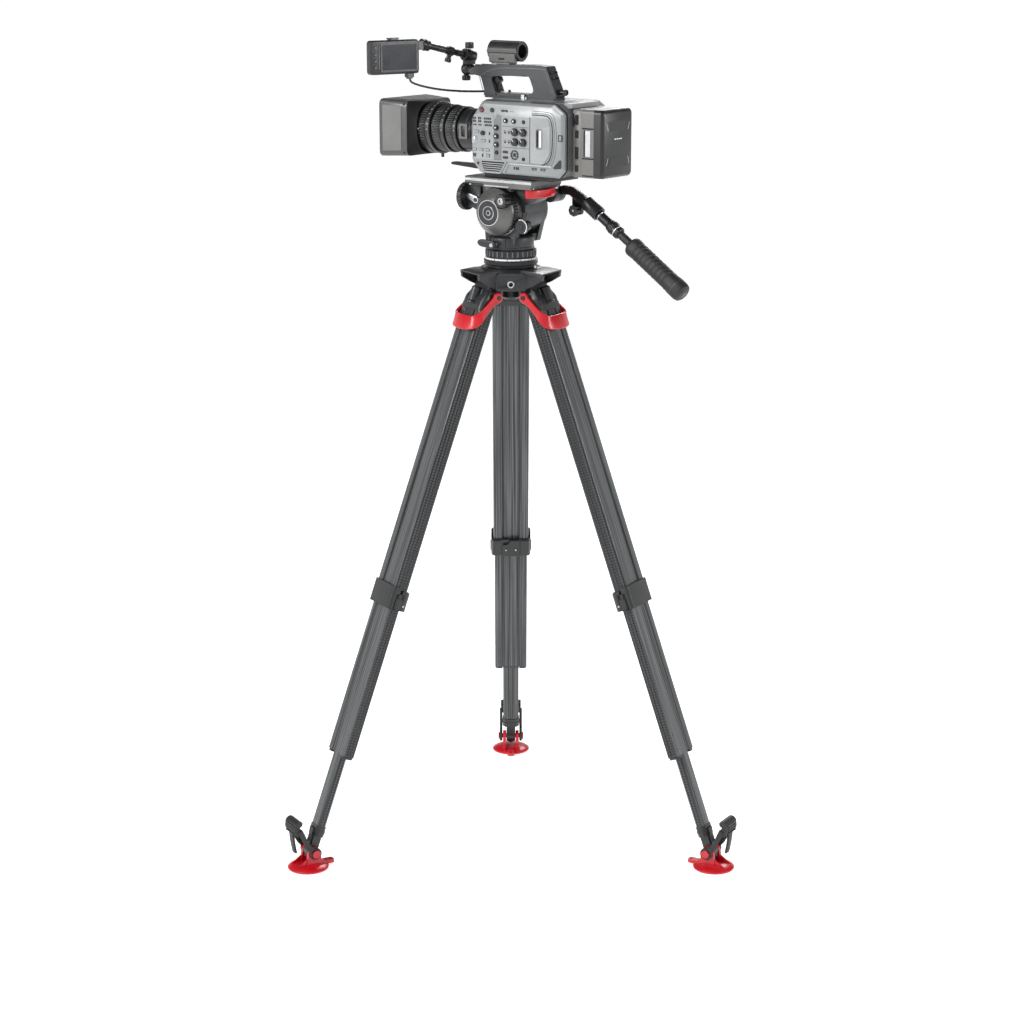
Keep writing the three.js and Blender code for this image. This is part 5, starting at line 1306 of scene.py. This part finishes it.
def hood():
    shape = Shape()
    n = len(hood_ring(0, 10, 10, 2))
    rings = [hood_ring(186, 53, 50, 46), hood_ring(191, 55, 50.5, 38), hood_ring(200, 66, 52, 12),
             hood_ring(260, 75, 55, 12), hood_ring(262, 74.4, 54.4, 12), hood_ring(261.6, 72, 52, 10),
             hood_ring(204, 63, 49, 10), hood_ring(203, 51, 47.5, 40), hood_ring(186, 51, 47.5, 44)]
    faces = []
    for k in range(len(rings)):
        m = (k + 1) % len(rings)
        for i in range(n):
            j = (i + 1) % n
            faces.append((k * n + i, k * n + j, m * n + j, m * n + i))
    shape.mesh([p for ring in rings for p in ring], faces)
    shape.bm.faces.ensure_lookup_table()
    for face in shape.bm.faces:
        centre = face.calc_center_median()
        inside = abs(centre.y) < 73.5 * (centre.x - 160) / 100 and abs(centre.z) < 51.8
        if centre.x < 201 or inside:
            face.material_index = 1
    on_lens("hood_shell", shape, HOOD_GREY, "lens_hood", 0.8, lining=BLACK_MATTE)
    panel = Shape()
    slope = 9 / 60
    for s in (-1, 1):
        corners = [(212, -42), (254, -44), (254, 44), (212, 42)]
        inner = [(x, s * (66 + (x - 200) * slope - 0.4), z) for x, z in corners]
        outer = [(x, s * (66 + (x - 200) * slope + 0.7), z) for x, z in corners]
        panel.loft([inner, outer])
    on_lens("hood_side_panels", panel, STEEL_GREY, bevel=0.5)
    top = Shape()
    for s in (-1, 1):
        top.loft([[(210, y, s * 52.6), (254, y * 1.1, s * 54.9), (254, y * 1.1, s * 55.3), (210, y, s * 53)]
                  for y in (-48, 48)])
    on_lens("hood_top_panels", top, HOOD_GREY, bevel=0.2)
    screws = Shape()
    for s in (-1, 1):
        for z in (-46, 46):
            screws.rod("y", 2.4, s * 66.5 - 1.4, s * 66.5 + 1.4, 207, z, 0.4, 20)
    on_lens("hood_screws", screws, PLASTIC, bevel=0)


# ---- battery -------------------------------------------------------------------------------

def battery():
    refined("battery_adapter", "camera", BATTERY_GREY, 0.9)
    trim = Shape()
    for s in (-1, 1):
        for z, height in ((118, 18), (92, 14), (58, 22), (30, 12)):
            trim.prism("y", rect(7, height, 1.2, -188, z), s * 46.6 - 0.6, s * 46.6 + 0.3)
        trim.prism("y", rounded([(-180, 134, 1), (-184, 112, 1), (-181, 104, 1), (-178.6, 108)]),
                   s * 46.4 - 0.6, s * 46.4 + 0.6)
    on_camera("adapter_notches", trim, BLACK_MATTE, bevel=0.2)
    low, high, half = 13.5, 137, 47
    front, rear = -199.3, -247
    pack = Shape()
    section = rect(2 * half - 0.4, high - low, 7, 0, (high + low) / 2, 8)
    pack.prism("x", section, front, front - 27)
    wedge = [(-202, -15), (-194, -22), (-194, 22), (-202, 15)]
    pack.prism("z", wedge, 40, 105)
    on_battery("battery_case", pack, BATTERY_GREY, "battery", 0.8, slot="body_dark")
    back = Shape().loft([[(x, p[0], p[1]) for p in rect(2 * (half - inset), high - low - 2 * inset, 8,
                                                        0, (high + low) / 2, 8)]
               for x, inset in ((front - 26.6, 0.1), (front - 42, 0.1), (rear + 2, 2.5), (rear + 0.4, 5))])
    back.prism("x", rounded([(-30, 116, 3), (30, 116, 3), (22, 98, 3), (-22, 98, 3)][::-1]), rear + 1, rear)
    back.prism("x", rounded([(-30, 34, 3), (30, 34, 3), (22, 52, 3), (-22, 52, 3)]), rear + 1, rear)
    on_battery("battery_back", back, PLASTIC, bevel=0.9)
    seams = Shape()
    for s in (-1, 1):
        for z in (103, 49):
            seams.prism("y", rect(26, 2.4, 0.8, front - 14, z), s * half - 0.6, s * half + 0.25)
        seams.prism("y", rect(3, 48, 1, front - 6, 76), s * half - 0.6, s * half + 0.25)
        seams.prism("y", rect(24, 2, 0.8, front - 14, 18), s * half - 0.6, s * half + 0.2)
    on_battery("battery_seams", seams, BLACK_MATTE, bevel=0)
    bright = Shape()
    for s in (-1, 1):
        bright.prism("y", rect(11, 46, 1, front - 14, 76), s * half - 0.5, s * half + 0.35)
    for y, z, tilt in ((-33, 106, 20), (33, 106, -20), (-33, 44, -20), (33, 44, 20)):
        bright.at(rear + 0.4, y, z, "X", tilt)
        bright.prism("x", rect(1, 14, 0.4), 0.4, -0.3)
    on_battery("battery_label_plates", bright, SILVER, bevel=0.2)
    meter = Shape()
    for i in range(4):
        meter.prism("x", rect(4, 2, 0.8, -9 + 6 * i, 84), rear + 1, rear - 0.2)
    on_battery("battery_gauge", meter, MARK, bevel=0)


# ---- monitor and its arm -------------------------------------------------------------------

ROD_CENTRE = Vector((101, 0, 220))
ROD_TURN = Vector((1, 0, 0)).rotation_difference(Vector((24, 110, 25)).normalized())
ROD = CAMERA @ (Matrix.Translation(ROD_CENTRE * MM) @ ROD_TURN.to_matrix().to_4x4())
MONITOR = turned(moved(CAMERA, 139, 175, 224), "Z", -15.1)


def monitor_arm():
    rod = Shape().rod("x", 5.9, -13.8, 98, edge=0.6)
    rod.ring("x", 8.8, 5, 40, 49, sides=64).ring("x", 7.4, 5, 49, 54, sides=64)
    rod.rod("z", 4.6, -16, -6, 45, 0, 0.8)
    rod.ring("z", 6.2, 3, -21, -14, 45, 0, 64, (10, 0.8))
    piece("arm_rod", rod, ROD, "camera", BLACK, "monitor_rod", 0.2)
    light = Shape().ring("x", 6.25, 5.5, 16, 30).ring("x", 6.25, 5.5, 60, 76).ring("x", 9, 8, 43.4, 45)
    piece("arm_rod_bands", light, ROD, "camera", DARK, bevel=0)
    block = Shape().ring("x", 11.2, 6.3, -13, 13, sides=64, edge=1)
    block.ring("x", 12, 6.3, -3, 3, sides=64)
    piece("arm_clamp_ring", block, ROD, "camera", BLACK, "rod_clamp", 0)
    lower = Shape().ball(11.8, 105, 0, 195)
    lower.prism("z", rect(19, 19, 4, 100, 0), 204, 212)
    lower.rod("x", 9, 89.4, 104, 0, 194)
    lower.ring("x", 10, 7, 91, 96, 0, 194, 64, (20, 0.6))
    lower.rod("z", 5, 175, 190, 107, 0, 0.8)
    lower.ring("z", 8.2, 3, 173.6, 183, 107, 0, 96, (10, 1), 1.2)
    on_camera("arm_ball_joint", lower, BLACK, bevel=0.2)
    knob = Shape().ring("z", 8.2, 2.6, 233.2, 244.8, 99, 0, 120, (9, 1.1), 1.2).rod("z", 5, 233, 240, 99, 0)
    piece("arm_clamp_knob", knob, CAMERA, "rod_clamp_knob", PLASTIC, "rod_clamp_knob", 0)
    pin = Shape().rod("z", 2.5, 242, 245, 99, 0, 0.4)
    piece("arm_knob_pin", pin, CAMERA, "rod_clamp_knob", SILVER, bevel=0)


def monitor():
    """Shell in its own frame: Y is across the screen, Z up, the screen faces -X."""
    shell = Shape()
    rear = [(x, inset) for x, inset in ((9, 4), (7, 1), (4, 0), (-6, 0), (-8.6, 1.6), (-9, 2.6))]
    shell.loft([[(x, p[0], p[1]) for p in rect(108 - 2 * i, 62 - 2 * i, 6, steps=8)] for x, i in rear])
    shell.box(-6, 8, -64.5, -52, 11, 27)
    shell.box(-5, 6, -44, -30, -38, -29)
    shell.prism("z", rect(12, 17, 1.5), 30, 34)
    shell.prism("z", rect(8, 24, 1.2), 32.8, 34.8)
    piece("monitor_shell", shell, MONITOR, "monitor", PLASTIC, "monitor", 0.8)
    screen_y = -8
    glass = Shape().prism("x", rect(76, 46, 1, screen_y, 0), -9.2, -9.8)
    piece("monitor_screen", glass, MONITOR, "monitor", SCREEN, bevel=0)
    bezel = Shape().prism("x", rect(83, 53, 3, screen_y, 0), -8.6, -10.2,
                          [rect(75.6, 45.6, 1, screen_y, 0)])
    piece("monitor_bezel", bezel, MONITOR, "monitor", DARK, bevel=0.5)
    keys = Shape()
    for z in (18, 6, -6, -18):
        keys.rod("x", 4, -10.4, -8, 44.5, z, 0.7)
    keys.prism("x", rect(3, 44, 1.2, 36.2, 0), -9.6, -8.6)
    piece("monitor_keys", keys, MONITOR, "monitor", DARK, bevel=0.2)
    vents = Shape()
    for y in range(-36, 40, 6):
        vents.prism("x", rect(2.2, 26, 1, y, 0), 8.4, 9.15)
    piece("monitor_vents", vents, MONITOR, "monitor", BLACK_MATTE, bevel=0)
    socket = Shape().ring("x", 10.2, 6.3, 98, 117.2, sides=64, edge=1.2)
    socket.ring("x", 11, 9, 106, 110, sides=64, ribs=(20, 0.5))
    piece("monitor_socket", socket, ROD, "monitor", BLACK, bevel=0)
    plug = Shape().prism("z", rect(8, 10, 1.5, 0.5, -37), -41, -37.4)
    plug.prism("z", rect(10, 13, 2, 0.5, -37), -38.6, -37)
    piece("monitor_plug", plug, MONITOR, "monitor", PLASTIC, bevel=0.4)


for build in (top_handle, mic_holder, lens, hood, battery, monitor_arm, monitor):
    build()
